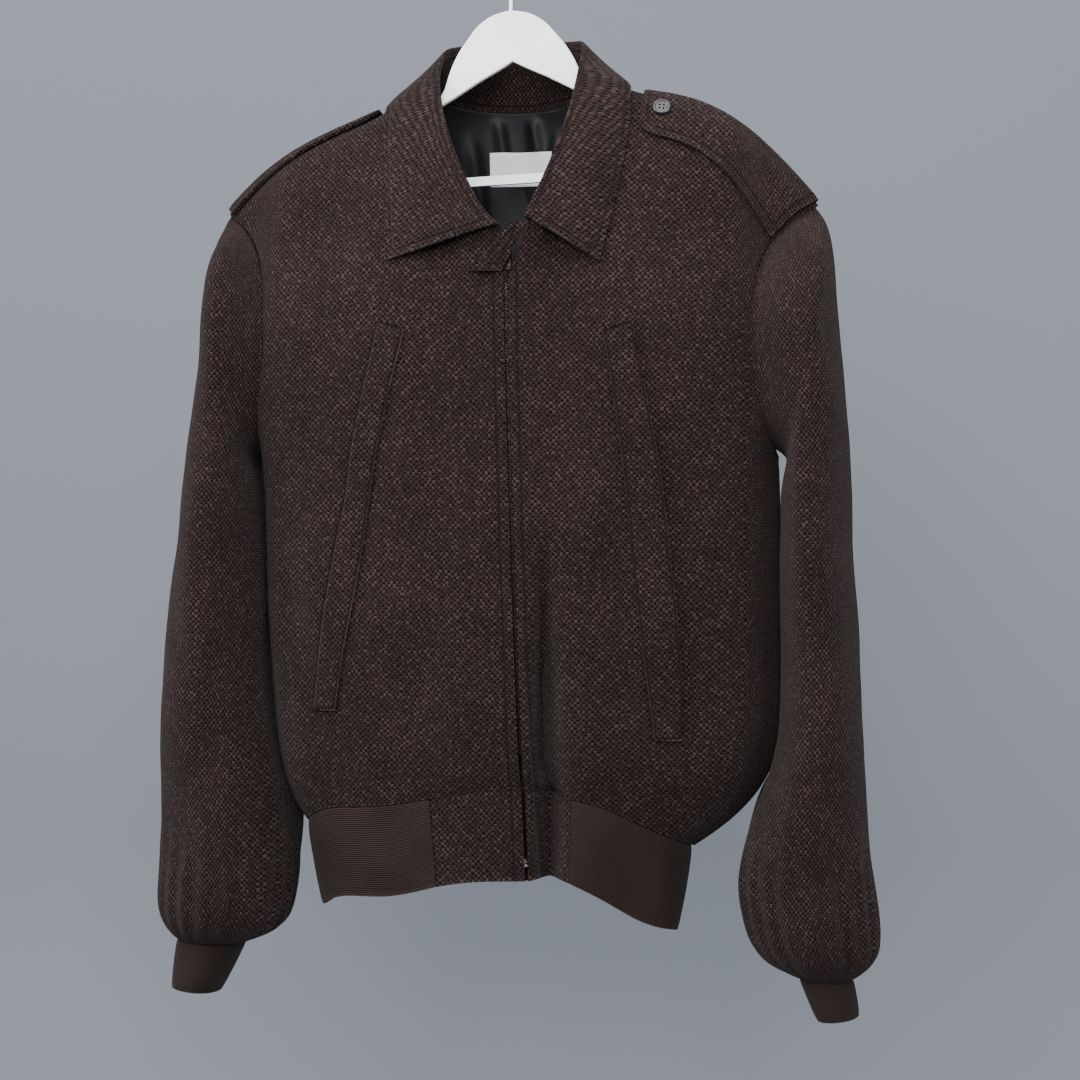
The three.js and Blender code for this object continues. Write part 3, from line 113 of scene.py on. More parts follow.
def apply_modifier(piece: bpy.types.Object, kind: str, **values: object) -> None:
    """Adds a modifier with its values to a piece and applies it.

    Args:
        piece: The object to change.
        kind: The modifier's type.
        **values: Its settings by name.
    """
    select_only(piece)
    modifier = piece.modifiers.new(kind.lower(), kind)
    for key, value in values.items():
        setattr(modifier, key, value)
    bpy.ops.object.modifier_apply(modifier=modifier.name)


def set_float(piece: bpy.types.Object, name: str, values: list[float]) -> None:
    """Stores one number a vertex on a piece, for its material to read.

    Args:
        piece: The object.
        name: The attribute's name.
        values: One value for each vertex.
    """
    mesh = piece.data
    layer = mesh.attributes.get(name) or mesh.attributes.new(name, "FLOAT", "POINT")
    layer.data.foreach_set("value", values)


def smooth_step(value: float) -> float:
    """Eases a share from 0 to 1 in and out."""
    t = min(max(value, 0.0), 1.0)
    return t * t * (3 - 2 * t)


def max_length(face: bmesh.types.BMFace) -> float:
    """The length of a face's longest edge."""
    return max(edge.calc_length() for edge in face.edges)


def connected_faces(mesh: bmesh.types.BMesh, walls: set) -> list[list]:
    """Gathers the faces that are joined without crossing any of the given edges."""
    seen, areas = set(), []
    for first in mesh.faces:
        if first in seen:
            continue
        seen.add(first)
        area, queue = [], [first]
        while queue:
            face = queue.pop()
            area.append(face)
            for edge in face.edges:
                if edge in walls:
                    continue
                for other in edge.link_faces:
                    if other not in seen:
                        seen.add(other)
                        queue.append(other)
        areas.append(area)
    return areas


def rim_vertices(mesh: bpy.types.Mesh) -> set[int]:
    """The vertices where a wall's rim meets its outside or inside."""
    kinds: list[set[int]] = [set() for _ in mesh.vertices]
    for face in mesh.polygons:
        for index in face.vertices:
            kinds[index].add(face.material_index)
    return {index for index, found in enumerate(kinds) if 2 in found and len(found) > 1}


def tree_of(mesh: bpy.types.Mesh, chosen: set[int]) -> KDTree:
    """Builds a search tree of some of a mesh's vertices."""
    tree = KDTree(len(chosen))
    for index in chosen:
        tree.insert(mesh.vertices[index].co, index)
    tree.balance()
    return tree


def surface_of(pieces: list[bpy.types.Object]) -> BVHTree:
    """Builds one search tree of several pieces' faces."""
    verts: list[Vector] = []
    faces: list[list[int]] = []
    for piece in pieces:
        start = len(verts)
        verts.extend(vertex.co.copy() for vertex in piece.data.vertices)
        faces.extend([start + index for index in face.vertices] for face in piece.data.polygons)
    return BVHTree.FromPolygons(verts, faces)


def evened(
    mesh: bpy.types.Mesh, values: list[float], times: int, held: set[int] | None = None
) -> list[float]:
    """Evens out one value a vertex over a mesh.

    Args:
        mesh: The mesh.
        values: One value for each vertex.
        times: How often each is averaged with its neighbours.
        held: Vertices that keep a value of 0.

    Returns:
        The evened values.
    """
    links: list[list[int]] = [[] for _ in values]
    for edge in mesh.edges:
        first, second = edge.vertices
        links[first].append(second)
        links[second].append(first)
    for _ in range(times):
        means = [sum(values[j] for j in near) / max(len(near), 1) for near in links]
        values = [0.5 * (value + mean) for value, mean in zip(values, means)]
        if held:
            values = [0.0 if i in held else value for i, value in enumerate(values)]
    return values


def outside_normals(mesh: bpy.types.Mesh) -> dict[int, Vector]:
    """The normals of a wall's outside alone, for each of its vertices."""
    normals: dict[int, Vector] = {}
    for face in mesh.polygons:
        if face.material_index == 0:
            for index in face.vertices:
                normals[index] = normals.get(index, Vector()) + face.normal * face.area
    return {index: normal.normalized() for index, normal in normals.items()}


# Shader boards


class Board:
    """A material's or a group's nodes, with short calls to add and link them."""

    def __init__(self, tree: bpy.types.NodeTree) -> None:
        """Takes the node tree to work on."""
        self.tree = tree

    def add(self, kind: str, inputs: dict | None = None, **settings: object) -> bpy.types.Node:
        """Adds a node.

        Args:
            kind: The node's type.
            inputs: What goes into its sockets: a number, a colour or another node's socket.
            **settings: The node's own properties.

        Returns:
            The new node.
        """
        node = self.tree.nodes.new(kind)
        for key, value in settings.items():
            setattr(node, key, value)
        for key, value in (inputs or {}).items():
            if isinstance(value, bpy.types.NodeSocket):
                self.tree.links.new(value, node.inputs[key])
            else:
                node.inputs[key].default_value = value
        return node

    def math(self, operation: str, *values: object) -> bpy.types.NodeSocket:
        """Adds a Math node on one, two or three values and returns its result."""
        node = self.add("ShaderNodeMath", dict(enumerate(values)), operation=operation)
        return node.outputs[0]

    def ramp(
        self, value: object, low: float, high: float, start: float = 0.0, end: float = 1.0
    ) -> bpy.types.NodeSocket:
        """Adds a smooth map of a value from one range to another.

        Args:
            value: The socket to map.
            low: Where the range starts.
            high: Where it ends.
            start: What the range's start becomes.
            end: What its end becomes.

        Returns:
            The mapped value's socket.
        """
        inputs = {"Value": value, "From Min": low, "From Max": high, "To Min": start, "To Max": end}
        node = self.add("ShaderNodeMapRange", inputs, interpolation_type="SMOOTHSTEP")
        return node.outputs["Result"]

    def shade(self, colour: object, value: bpy.types.NodeSocket) -> bpy.types.NodeSocket:
        """Multiplies a colour by a value and returns the colour."""
        grey = self.add("ShaderNodeCombineColor", {0: value, 1: value, 2: value})
        return self.blend(1.0, colour, grey.outputs[0], "MULTIPLY")

    def blend(
        self, share: object, first: object, second: object, kind: str = "MIX"
    ) -> bpy.types.NodeSocket:
        """Adds a colour mix and returns its colour."""
        node = self.add("ShaderNodeMix", data_type="RGBA", blend_type=kind)
        for socket, value in ((node.inputs[0], share), (node.inputs[6], first), (node.inputs[7], second)):
            if isinstance(value, bpy.types.NodeSocket):
                self.tree.links.new(value, socket)
            else:
                socket.default_value = value
        return node.outputs[2]


def new_group(
    name: str, inputs: dict[str, float], outputs: tuple[str, ...]
) -> tuple[bpy.types.NodeTree, Board, bpy.types.Node, bpy.types.Node]:
    """Makes a shader node group with float sockets.

    Args:
        name: The group's name.
        inputs: Its inputs with their usual values.
        outputs: The names of its outputs.

    Returns:
        The tree, its board, its input node and its output node.
    """
    tree = bpy.data.node_groups.new(name, "ShaderNodeTree")
    for key, value in inputs.items():
        socket = tree.interface.new_socket(name=key, in_out="INPUT", socket_type="NodeSocketFloat")
        socket.default_value = value
    for key in outputs:
        tree.interface.new_socket(name=key, in_out="OUTPUT", socket_type="NodeSocketFloat")
    board = Board(tree)
    return tree, board, board.add("NodeGroupInput"), board.add("NodeGroupOutput")


def basket_weave_group() -> bpy.types.NodeTree:
    """Makes the group for a small irregular basket weave, read from the piece's own cloth map.

    Returns:
        A group that gives which thread lies on top, the threads' height, a random tone for each
        float and the fine nap.
    """
    usual = {"Float": 0.002, "Unevenness": 0.95}
    tree, board, given, out = new_group("basket_weave", usual, ("Over", "Height", "Tone", "Nap"))
    place = board.add("ShaderNodeTexCoord").outputs["Object"]
    cloth = board.add("ShaderNodeSeparateXYZ", {0: board.add("ShaderNodeUVMap", uv_map="cloth").outputs[0]})
    drift = board.add("ShaderNodeTexNoise", {"Vector": place, "Scale": 170.0, "Detail": 3.0})
    drifts = board.add("ShaderNodeSeparateColor", {"Color": drift.outputs["Color"]})
    counts, waves = [], []
    for axis in (0, 1):
        count = board.math("DIVIDE", cloth.outputs[axis], given.outputs["Float"])
        shift = board.math("MULTIPLY", drifts.outputs[axis], given.outputs["Unevenness"])
        counts.append(board.math("ADD", count, board.math("MULTIPLY", shift, 2.0)))
        waves.append(board.math("SINE", board.math("MULTIPLY", counts[axis], math.pi)))
    over = board.math("MULTIPLY", waves[0], waves[1])
    cell = board.add(
        "ShaderNodeCombineXYZ", {0: board.math("FLOOR", counts[0]), 1: board.math("FLOOR", counts[1])}
    )
    tone = board.add("ShaderNodeTexWhiteNoise", {"Vector": cell.outputs[0]}, noise_dimensions="2D")
    nap = board.add("ShaderNodeTexNoise", {"Vector": place, "Scale": 1500.0, "Detail": 3.0})
    board.tree.links.new(board.ramp(over, -0.7, 0.6), out.inputs["Over"])
    board.tree.links.new(board.ramp(board.math("ABSOLUTE", over), 0.0, 0.8), out.inputs["Height"])
    board.tree.links.new(tone.outputs["Value"], out.inputs["Tone"])
    board.tree.links.new(nap.outputs["Fac"], out.inputs["Nap"])
    return tree


def stitch_group() -> bpy.types.NodeTree:
    """Makes the group for a row of lockstitch beside a seam.

    Returns:
        A group that gives the thread's mask and that of the dent it pulls into the cloth.
    """
    usual = {"Across": 0.0, "Along": 0.0, "Offset": 0.006, "Pitch": 0.0034}
    tree, board, given, out = new_group("stitch_row", usual, ("Thread", "Dent"))
    off = board.math("SUBTRACT", given.outputs["Across"], given.outputs["Offset"])
    away = board.math("ABSOLUTE", off)
    line = board.ramp(away, 0.0002, 0.0007, 1.0, 0.0)
    step = board.math("FRACT", board.math("DIVIDE", given.outputs["Along"], given.outputs["Pitch"]))
    mid = board.math("ABSOLUTE", board.math("SUBTRACT", step, 0.5))
    dash = board.ramp(mid, 0.3, 0.42, 1.0, 0.0)
    board.tree.links.new(board.math("MULTIPLY", line, dash), out.inputs["Thread"])
    board.tree.links.new(board.ramp(away, 0.0003, 0.0017, 1.0, 0.0), out.inputs["Dent"])
    return tree


@dataclass(frozen=True)
class Groups:
    """The node groups that several finishes share."""

    weave: bpy.types.NodeTree
    stitch: bpy.types.NodeTree


def new_material(
    name: str, colour: tuple[float, float, float], roughness: float, **values: object
) -> tuple[bpy.types.Material, Board, bpy.types.Node]:
    """Makes a material with one Principled shader.

    Args:
        name: The material's name.
        colour: Its plain colour.
        roughness: Its plain roughness.
        **values: Other sockets of the shader, with spaces as underscores.

    Returns:
        The material, its board and its shader.
    """
    material = bpy.data.materials.new(name)
    material.use_nodes = True
    shader = material.node_tree.nodes["Principled BSDF"]
    shader.inputs["Base Color"].default_value = (*colour, 1)
    shader.inputs["Roughness"].default_value = roughness
    for key, value in values.items():
        shader.inputs[key.replace("_", " ")].default_value = value
    material.diffuse_color = (*colour, 1)
    return material, Board(material.node_tree), shader


class StitchLine(Enum):
    """What a row of stitches on wool follows."""

    NONE = "none"
    EDGE = "edge"
    ZIP = "zip"


@dataclass(frozen=True)
class ZipLine:
    """The zip's line as seen from the front, in millimetres."""

    top_x: float = 9.5
    top_z: float = -303.0
    hem_x: float = 27.0
    hem_z: float = -802.0

    @property
    def slope(self) -> float:
        """How far the line moves along X for each step down Z."""
        return (self.hem_x - self.top_x) / (self.hem_z - self.top_z)

    def x_at(self, z: float) -> float:
        """The line's X at a height, both in metres."""
        return self.top_x * MM + (z - self.top_z * MM) * self.slope


@dataclass(frozen=True)
class WoolFinish:
    """Dark brown wool in a small basket weave with a soft nap."""

    name: str
    stitches: StitchLine = StitchLine.NONE
    offset: float = 6.0
    deep: tuple[float, float, float] = (0.0042, 0.0027, 0.0027)
    yarn: tuple[float, float, float] = (0.0236, 0.0138, 0.0128)
    light: tuple[float, float, float] = (0.0455, 0.0278, 0.0262)
    thread: tuple[float, float, float] = (0.009, 0.0059, 0.0054)
    float_size: float = 2.35

    def build(self, groups: Groups) -> bpy.types.Material:
        """Makes the material.

        Args:
            groups: The shared node groups.

        Returns:
            The material.
        """
        material, board, shader = new_material(
            self.name, self.yarn, 0.92, Sheen_Weight=0.1, Sheen_Roughness=0.45, Specular_IOR_Level=0.05
        )
        shader.inputs["Sheen Tint"].default_value = (0.5, 0.43, 0.42, 1)
        weave = board.add("ShaderNodeGroup", {}, node_tree=groups.weave)
        weave.inputs["Float"].default_value = self.float_size * MM
        place = board.add("ShaderNodeTexCoord").outputs["Object"]
        over, height, tone, nap = (weave.outputs[key] for key in ("Over", "Height", "Tone", "Nap"))
        floats = board.blend(board.ramp(tone, 0.35, 1.0), (*self.yarn, 1), (*self.light, 1))
        cloth = board.blend(over, (*self.deep, 1), floats)
        wide = board.add("ShaderNodeTexNoise", {"Vector": place, "Scale": 18.0, "Detail": 5.0})
        patches = board.ramp(wide.outputs["Fac"], 0.3, 0.7, 0.86, 1.1)
        cloth = board.shade(cloth, patches)
        cloth = board.shade(cloth, board.ramp(nap, 0.35, 0.7, 0.72, 1.25))
        relief = board.math("ADD", height, board.math("MULTIPLY", nap, 0.7))
        if self.stitches is not StitchLine.NONE:
            row = self._row(board, groups, place)
            # Painted shade: along the stitch row's dent the cloth is darkened towards the deep colour,
            # standing in for the shade that falls into the groove.
            dark = board.math("MULTIPLY", row.outputs["Dent"], 0.55)
            cloth = board.blend(dark, cloth, (*self.deep, 1))
            cloth = board.blend(row.outputs["Thread"], cloth, (*self.thread, 1))
            relief = board.math("SUBTRACT", relief, board.math("MULTIPLY", row.outputs["Dent"], 3.0))
            relief = board.math("ADD", relief, board.math("MULTIPLY", row.outputs["Thread"], 1.1))
        bump = board.add("ShaderNodeBump", {"Height": relief, "Strength": 0.9, "Distance": 0.0005})
        board.tree.links.new(cloth, shader.inputs["Base Color"])
        board.tree.links.new(bump.outputs[0], shader.inputs["Normal"])
        return material

    def _row(self, board: Board, groups: Groups, place: bpy.types.NodeSocket) -> bpy.types.Node:
        """Adds the row of stitches along the edge or beside the zip."""
        if self.stitches is StitchLine.EDGE:
            across = board.add("ShaderNodeAttribute", attribute_name="rim").outputs["Fac"]
            along = board.add("ShaderNodeAttribute", attribute_name="along").outputs["Fac"]
        else:
            line = ZipLine()
            split = board.add("ShaderNodeSeparateXYZ", {0: place})
            drop = board.math("MULTIPLY_ADD", split.outputs[2], -line.slope, split.outputs[0])
            start = (line.top_x - line.top_z * line.slope) * MM
            across = board.math("ABSOLUTE", board.math("SUBTRACT", drop, start))
            along = split.outputs[2]
        return board.add(
            "ShaderNodeGroup",
            {"Across": across, "Along": along, "Offset": self.offset * MM},
            node_tree=groups.stitch,
        )


@dataclass(frozen=True)
class RibFinish:
    """Fine dark brown knit whose ridges run along the band, with painted shade in the valleys between them.
    """

    name: str = "brown_rib_knit"
    ridges: float = 42.0
    valley_shade: tuple[float, float, float] = (0.006, 0.0037, 0.0032)
    ridge: tuple[float, float, float] = (0.0285, 0.0172, 0.0148)

    def build(self, groups: Groups) -> bpy.types.Material:
        """Makes the material."""
        material, board, shader = new_material(
            self.name, self.ridge, 0.8, Sheen_Weight=0.03, Sheen_Roughness=0.5, Specular_IOR_Level=0.07
        )
        down = board.add("ShaderNodeAttribute", attribute_name="down").outputs["Fac"]
        place = board.add("ShaderNodeTexCoord").outputs["Object"]
        wander = board.add("ShaderNodeTexNoise", {"Vector": place, "Scale": 60.0, "Detail": 2.0})
        turn = board.math("MULTIPLY_ADD", down, self.ridges, wander.outputs["Fac"])
        wave = board.math("SINE", board.math("MULTIPLY", turn, 2 * math.pi))
        loops = board.add("ShaderNodeTexVoronoi", {"Vector": place, "Scale": 900.0})
        ridge = board.ramp(wave, -0.8, 0.9)
        height = board.math("MULTIPLY_ADD", loops.outputs["Distance"], -0.35, ridge)
        # Painted shade: the valleys between the ridges are coloured darker, where shade falls between them.
        colour = board.blend(ridge, (*self.valley_shade, 1), (*self.ridge, 1))
        wide = board.add("ShaderNodeTexNoise", {"Vector": place, "Scale": 22.0, "Detail": 3.0})
        patch = board.ramp(wide.outputs["Fac"], 0.3, 0.7, 0.85, 1.12)
        bump = board.add("ShaderNodeBump", {"Height": height, "Strength": 0.8, "Distance": 0.0004})
        board.tree.links.new(board.shade(colour, patch), shader.inputs["Base Color"])
        board.tree.links.new(bump.outputs[0], shader.inputs["Normal"])
        return material


@dataclass(frozen=True)
class SatinFinish:
    """Black lining satin with fine diagonal threads."""

    name: str = "black_satin"
    colour: tuple[float, float, float] = (0.006, 0.006, 0.0075)

    def build(self, groups: Groups) -> bpy.types.Material:
        """Makes the material."""
        material, board, shader = new_material(
            self.name, self.colour, 0.42, Sheen_Weight=0.04, Sheen_Roughness=0.4, Specular_IOR_Level=0.2
        )
        place = board.add("ShaderNodeTexCoord").outputs["Object"]
        turned = board.add("ShaderNodeMapping", {"Vector": place, "Rotation": (0, math.radians(52), 0)})
        twill = board.add(
            "ShaderNodeTexWave",
            {"Vector": turned.outputs[0], "Scale": 620.0, "Distortion": 1.2, "Detail": 1.0},
        )
        tone = board.ramp(twill.outputs["Fac"], 0.2, 0.9, 0.46, 0.6)
        shade = board.blend(twill.outputs["Fac"], (0.0028, 0.0027, 0.0038, 1), (0.006, 0.006, 0.0085, 1))
        bump = board.add(
            "ShaderNodeBump", {"Height": twill.outputs["Fac"], "Strength": 0.25, "Distance": 0.0001}
        )
        board.tree.links.new(shade, shader.inputs["Base Color"])
        board.tree.links.new(tone, shader.inputs["Roughness"])
        board.tree.links.new(bump.outputs[0], shader.inputs["Normal"])
        return material


@dataclass(frozen=True)
class TapeFinish:
    """Woven tape: the zip's dark one or the plain white label."""

    name: str
    colour: tuple[float, float, float]
    roughness: float = 0.75
    threads: float = 1300.0

    def build(self, groups: Groups) -> bpy.types.Material:
        """Makes the material."""
        material, board, shader = new_material(self.name, self.colour, self.roughness)
        place = board.add("ShaderNodeTexCoord").outputs["Object"]
        bands = [
            board.add(
                "ShaderNodeTexWave",
                {"Vector": place, "Scale": self.threads / 4, "Distortion": 0.4},
                bands_direction=axis,
            ).outputs["Fac"]
            for axis in ("X", "Z")
        ]
        weave = board.math("MULTIPLY", *bands)
        low = tuple(0.82 * part for part in self.colour)
        bump = board.add("ShaderNodeBump", {"Height": weave, "Strength": 0.3, "Distance": 0.0002})
        shade = board.blend(weave, (*low, 1), (*self.colour, 1))
        board.tree.links.new(shade, shader.inputs["Base Color"])
        board.tree.links.new(bump.outputs[0], shader.inputs["Normal"])
        return material


@dataclass(frozen=True)
class HornFinish:
    """Polished dark grey horn with faint cloudy streaks."""

    name: str = "grey_horn"
    colour: tuple[float, float, float] = (0.007, 0.0066, 0.0078)
    streak: tuple[float, float, float] = (0.0225, 0.024, 0.026)

    def build(self, groups: Groups) -> bpy.types.Material:
        """Makes the material."""
        material, board, shader = new_material(self.name, self.colour, 0.36, Coat_Weight=0.1)
        place = board.add("ShaderNodeTexCoord").outputs["Object"]
        cloud = board.add(
            "ShaderNodeTexNoise", {"Vector": place, "Scale": 190.0, "Detail": 5.0, "Distortion": 2.0}
        )
        mask = board.ramp(cloud.outputs["Fac"], 0.42, 0.72)
        shade = board.blend(mask, (*self.colour, 1), (*self.streak, 1))
        rough = board.ramp(cloud.outputs["Fac"], 0.3, 0.7, 0.22, 0.4)
        board.tree.links.new(shade, shader.inputs["Base Color"])
        board.tree.links.new(rough, shader.inputs["Roughness"])
        return material


@dataclass(frozen=True)
class MetalFinish:
    """Dark antiqued zip metal, lighter where it is rubbed."""

    name: str = "dark_zip_metal"
    colour: tuple[float, float, float] = (0.012, 0.0105, 0.0095)
    rubbed: tuple[float, float, float] = (0.03, 0.026, 0.023)

    def build(self, groups: Groups) -> bpy.types.Material:
        """Makes the material."""
        material, board, shader = new_material(self.name, self.colour, 0.5, Metallic=1.0)
        place = board.add("ShaderNodeTexCoord").outputs["Object"]
        wear = board.add("ShaderNodeTexNoise", {"Vector": place, "Scale": 320.0, "Detail": 4.0})
        mask = board.ramp(wear.outputs["Fac"], 0.48, 0.7)
        shade = board.blend(mask, (*self.colour, 1), (*self.rubbed, 1))
        rough = board.ramp(wear.outputs["Fac"], 0.3, 0.7, 0.48, 0.28)
        board.tree.links.new(shade, shader.inputs["Base Color"])
        board.tree.links.new(rough, shader.inputs["Roughness"])
        return material


@dataclass(frozen=True)
class WhiteFinish:
    """Smooth white of the hanger and of its coated wire."""

    name: str
    colour: tuple[float, float, float] = (0.91, 0.915, 0.93)
    roughness: float = 0.42

    def build(self, groups: Groups) -> bpy.types.Material:
        """Makes the material."""
        material, board, shader = new_material(self.name, self.colour, self.roughness)
        place = board.add("ShaderNodeTexCoord").outputs["Object"]
        grain = board.add("ShaderNodeTexNoise", {"Vector": place, "Scale": 900.0, "Detail": 3.0})
        wide = board.add("ShaderNodeTexNoise", {"Vector": place, "Scale": 14.0, "Detail": 2.0})
        low = tuple(0.94 * part for part in self.colour)
        shade = board.blend(board.ramp(wide.outputs["Fac"], 0.35, 0.65), (*low, 1), (*self.colour, 1))
        rough = board.ramp(grain.outputs["Fac"], 0.3, 0.7, self.roughness - 0.06, self.roughness + 0.08)
        bump = board.add(
            "ShaderNodeBump", {"Height": grain.outputs["Fac"], "Strength": 0.12, "Distance": 0.0001}
        )
        board.tree.links.new(shade, shader.inputs["Base Color"])
        board.tree.links.new(rough, shader.inputs["Roughness"])
        board.tree.links.new(bump.outputs[0], shader.inputs["Normal"])
        return material


@dataclass(frozen=True)
class Wardrobe:
    """All the finishes that the pieces wear."""

    wool: bpy.types.Material
    wool_zip: bpy.types.Material
    wool_edge: bpy.types.Material
    wool_welt: bpy.types.Material
    rib: bpy.types.Material
    satin: bpy.types.Material
    label: bpy.types.Material
    tape: bpy.types.Material
    horn: bpy.types.Material
    metal: bpy.types.Material
    white: bpy.types.Material
    wire: bpy.types.Material


def fill_wardrobe() -> Wardrobe:
    """Builds every finish once.

    Returns:
        The wardrobe.
    """
    groups = Groups(basket_weave_group(), stitch_group())
    return Wardrobe(
        wool=WoolFinish("brown_wool").build(groups),
        wool_zip=WoolFinish("brown_wool_by_zip", StitchLine.ZIP, 9.4).build(groups),
        wool_edge=WoolFinish("brown_wool_edge_stitched", StitchLine.EDGE, 5.5).build(groups),
        wool_welt=WoolFinish("brown_wool_welt", StitchLine.EDGE, 1.6).build(groups),
        rib=RibFinish().build(groups),
        satin=SatinFinish().build(groups),
        label=TapeFinish("white_label_tape", (0.8, 0.8, 0.83)).build(groups),
        tape=TapeFinish("dark_zip_tape", (0.016, 0.012, 0.011), 0.85).build(groups),
        horn=HornFinish().build(groups),
        metal=MetalFinish().build(groups),
        white=WhiteFinish("white_hanger").build(groups),
        wire=WhiteFinish("white_wire", roughness=0.3).build(groups),
    )


# Cloth


@dataclass(frozen=True)
class Oval:
    """An upright tube's cross section, to measure cloth round it.

    Its half width and half depth are in metres, and shift is its middle or, if None, the spine.
    """

    half_width: float
    half_depth: float
    shift: tuple[float, float] | None = None
    steps: int = 180

    @cached_property
    def lengths(self) -> list[float]:
        """How far round it is from its front to each of its steps."""
        lengths, before = [0.0], (0.0, self.half_depth)
        for step in range(1, self.steps + 1):
            turn = math.pi * step / self.steps
            here = (self.half_width * math.sin(turn), self.half_depth * math.cos(turn))
            lengths.append(lengths[-1] + math.dist(before, here))
            before = here
        return lengths

    @property
    def girth(self) -> float:
        """How far it is all round."""
        return 2 * self.lengths[-1]

    def around(self, x: float, y: float) -> float:
        """How far round from its front a place lies, on one side or the other."""
        turn = math.atan2(x / self.half_width, -y / self.half_depth)
        at = abs(turn) / math.pi * self.steps
        first = min(int(at), self.steps - 1)
        length = self.lengths[first] + (at - first) * (self.lengths[first + 1] - self.lengths[first])
        return math.copysign(length, turn)


@dataclass(frozen=True)
class Fold:
    """A soft fold: from one point to another as seen from the front or the back.

    deep is how far it goes into the body, or out of it below 0, and wide its half width, in
    millimetres.
    """

    x1: float
    z1: float
    x2: float
    z2: float
    deep: float
    wide: float

    def depth_at(self, x: float, z: float) -> float:
        """How deep the fold is at a place in millimetres."""
        run_x, run_z = self.x2 - self.x1, self.z2 - self.z1
        length = math.hypot(run_x, run_z)
        t = ((x - self.x1) * run_x + (z - self.z1) * run_z) / length**2
        off = abs((x - self.x1) * run_z - (z - self.z1) * run_x) / length
        bend = 0.35 * self.wide * math.sin(5.0 * t + self.x1)
        wide = self.wide * (0.75 + 0.5 * min(max(t, 0.0), 1.0))
        ends = smooth_step(t * 3.2) * smooth_step((1 - t) * 2.6)
        return self.deep * ends * math.exp(-(((off + bend * 0.2) / wide) ** 2))


@dataclass(frozen=True)
class Tuck:
    """How a sleeve's inner side swells towards the body, in front and lower down behind.

    deep and the places are in metres, and back_share is the swelling behind over that in front.
    """

    deep: float = 0.007
    top_z: float = -0.405
    top_run: float = 0.05
    foot_z: float = -0.84
    foot_run: float = 0.1
    front_y: float = -0.036
    front_wide: float = 0.026
    back_y: float = 0.042
    back_wide: float = 0.034
    back_top_z: float = -0.68
    back_run: float = 0.06
    back_share: float = 2.4

    def depth_at(self, place: Vector) -> float:
        """How far the cloth swells at a place, in metres."""
        below = smooth_step((self.top_z - place.z) / self.top_run)
        above = smooth_step((place.z - self.foot_z) / self.foot_run)
        front = math.exp(-(((place.y - self.front_y) / self.front_wide) ** 2))
        behind = math.exp(-(((place.y - self.back_y) / self.back_wide) ** 2))
        low = smooth_step((self.back_top_z - place.z) / self.back_run)
        return self.deep * below * above * (front + self.back_share * behind * low)


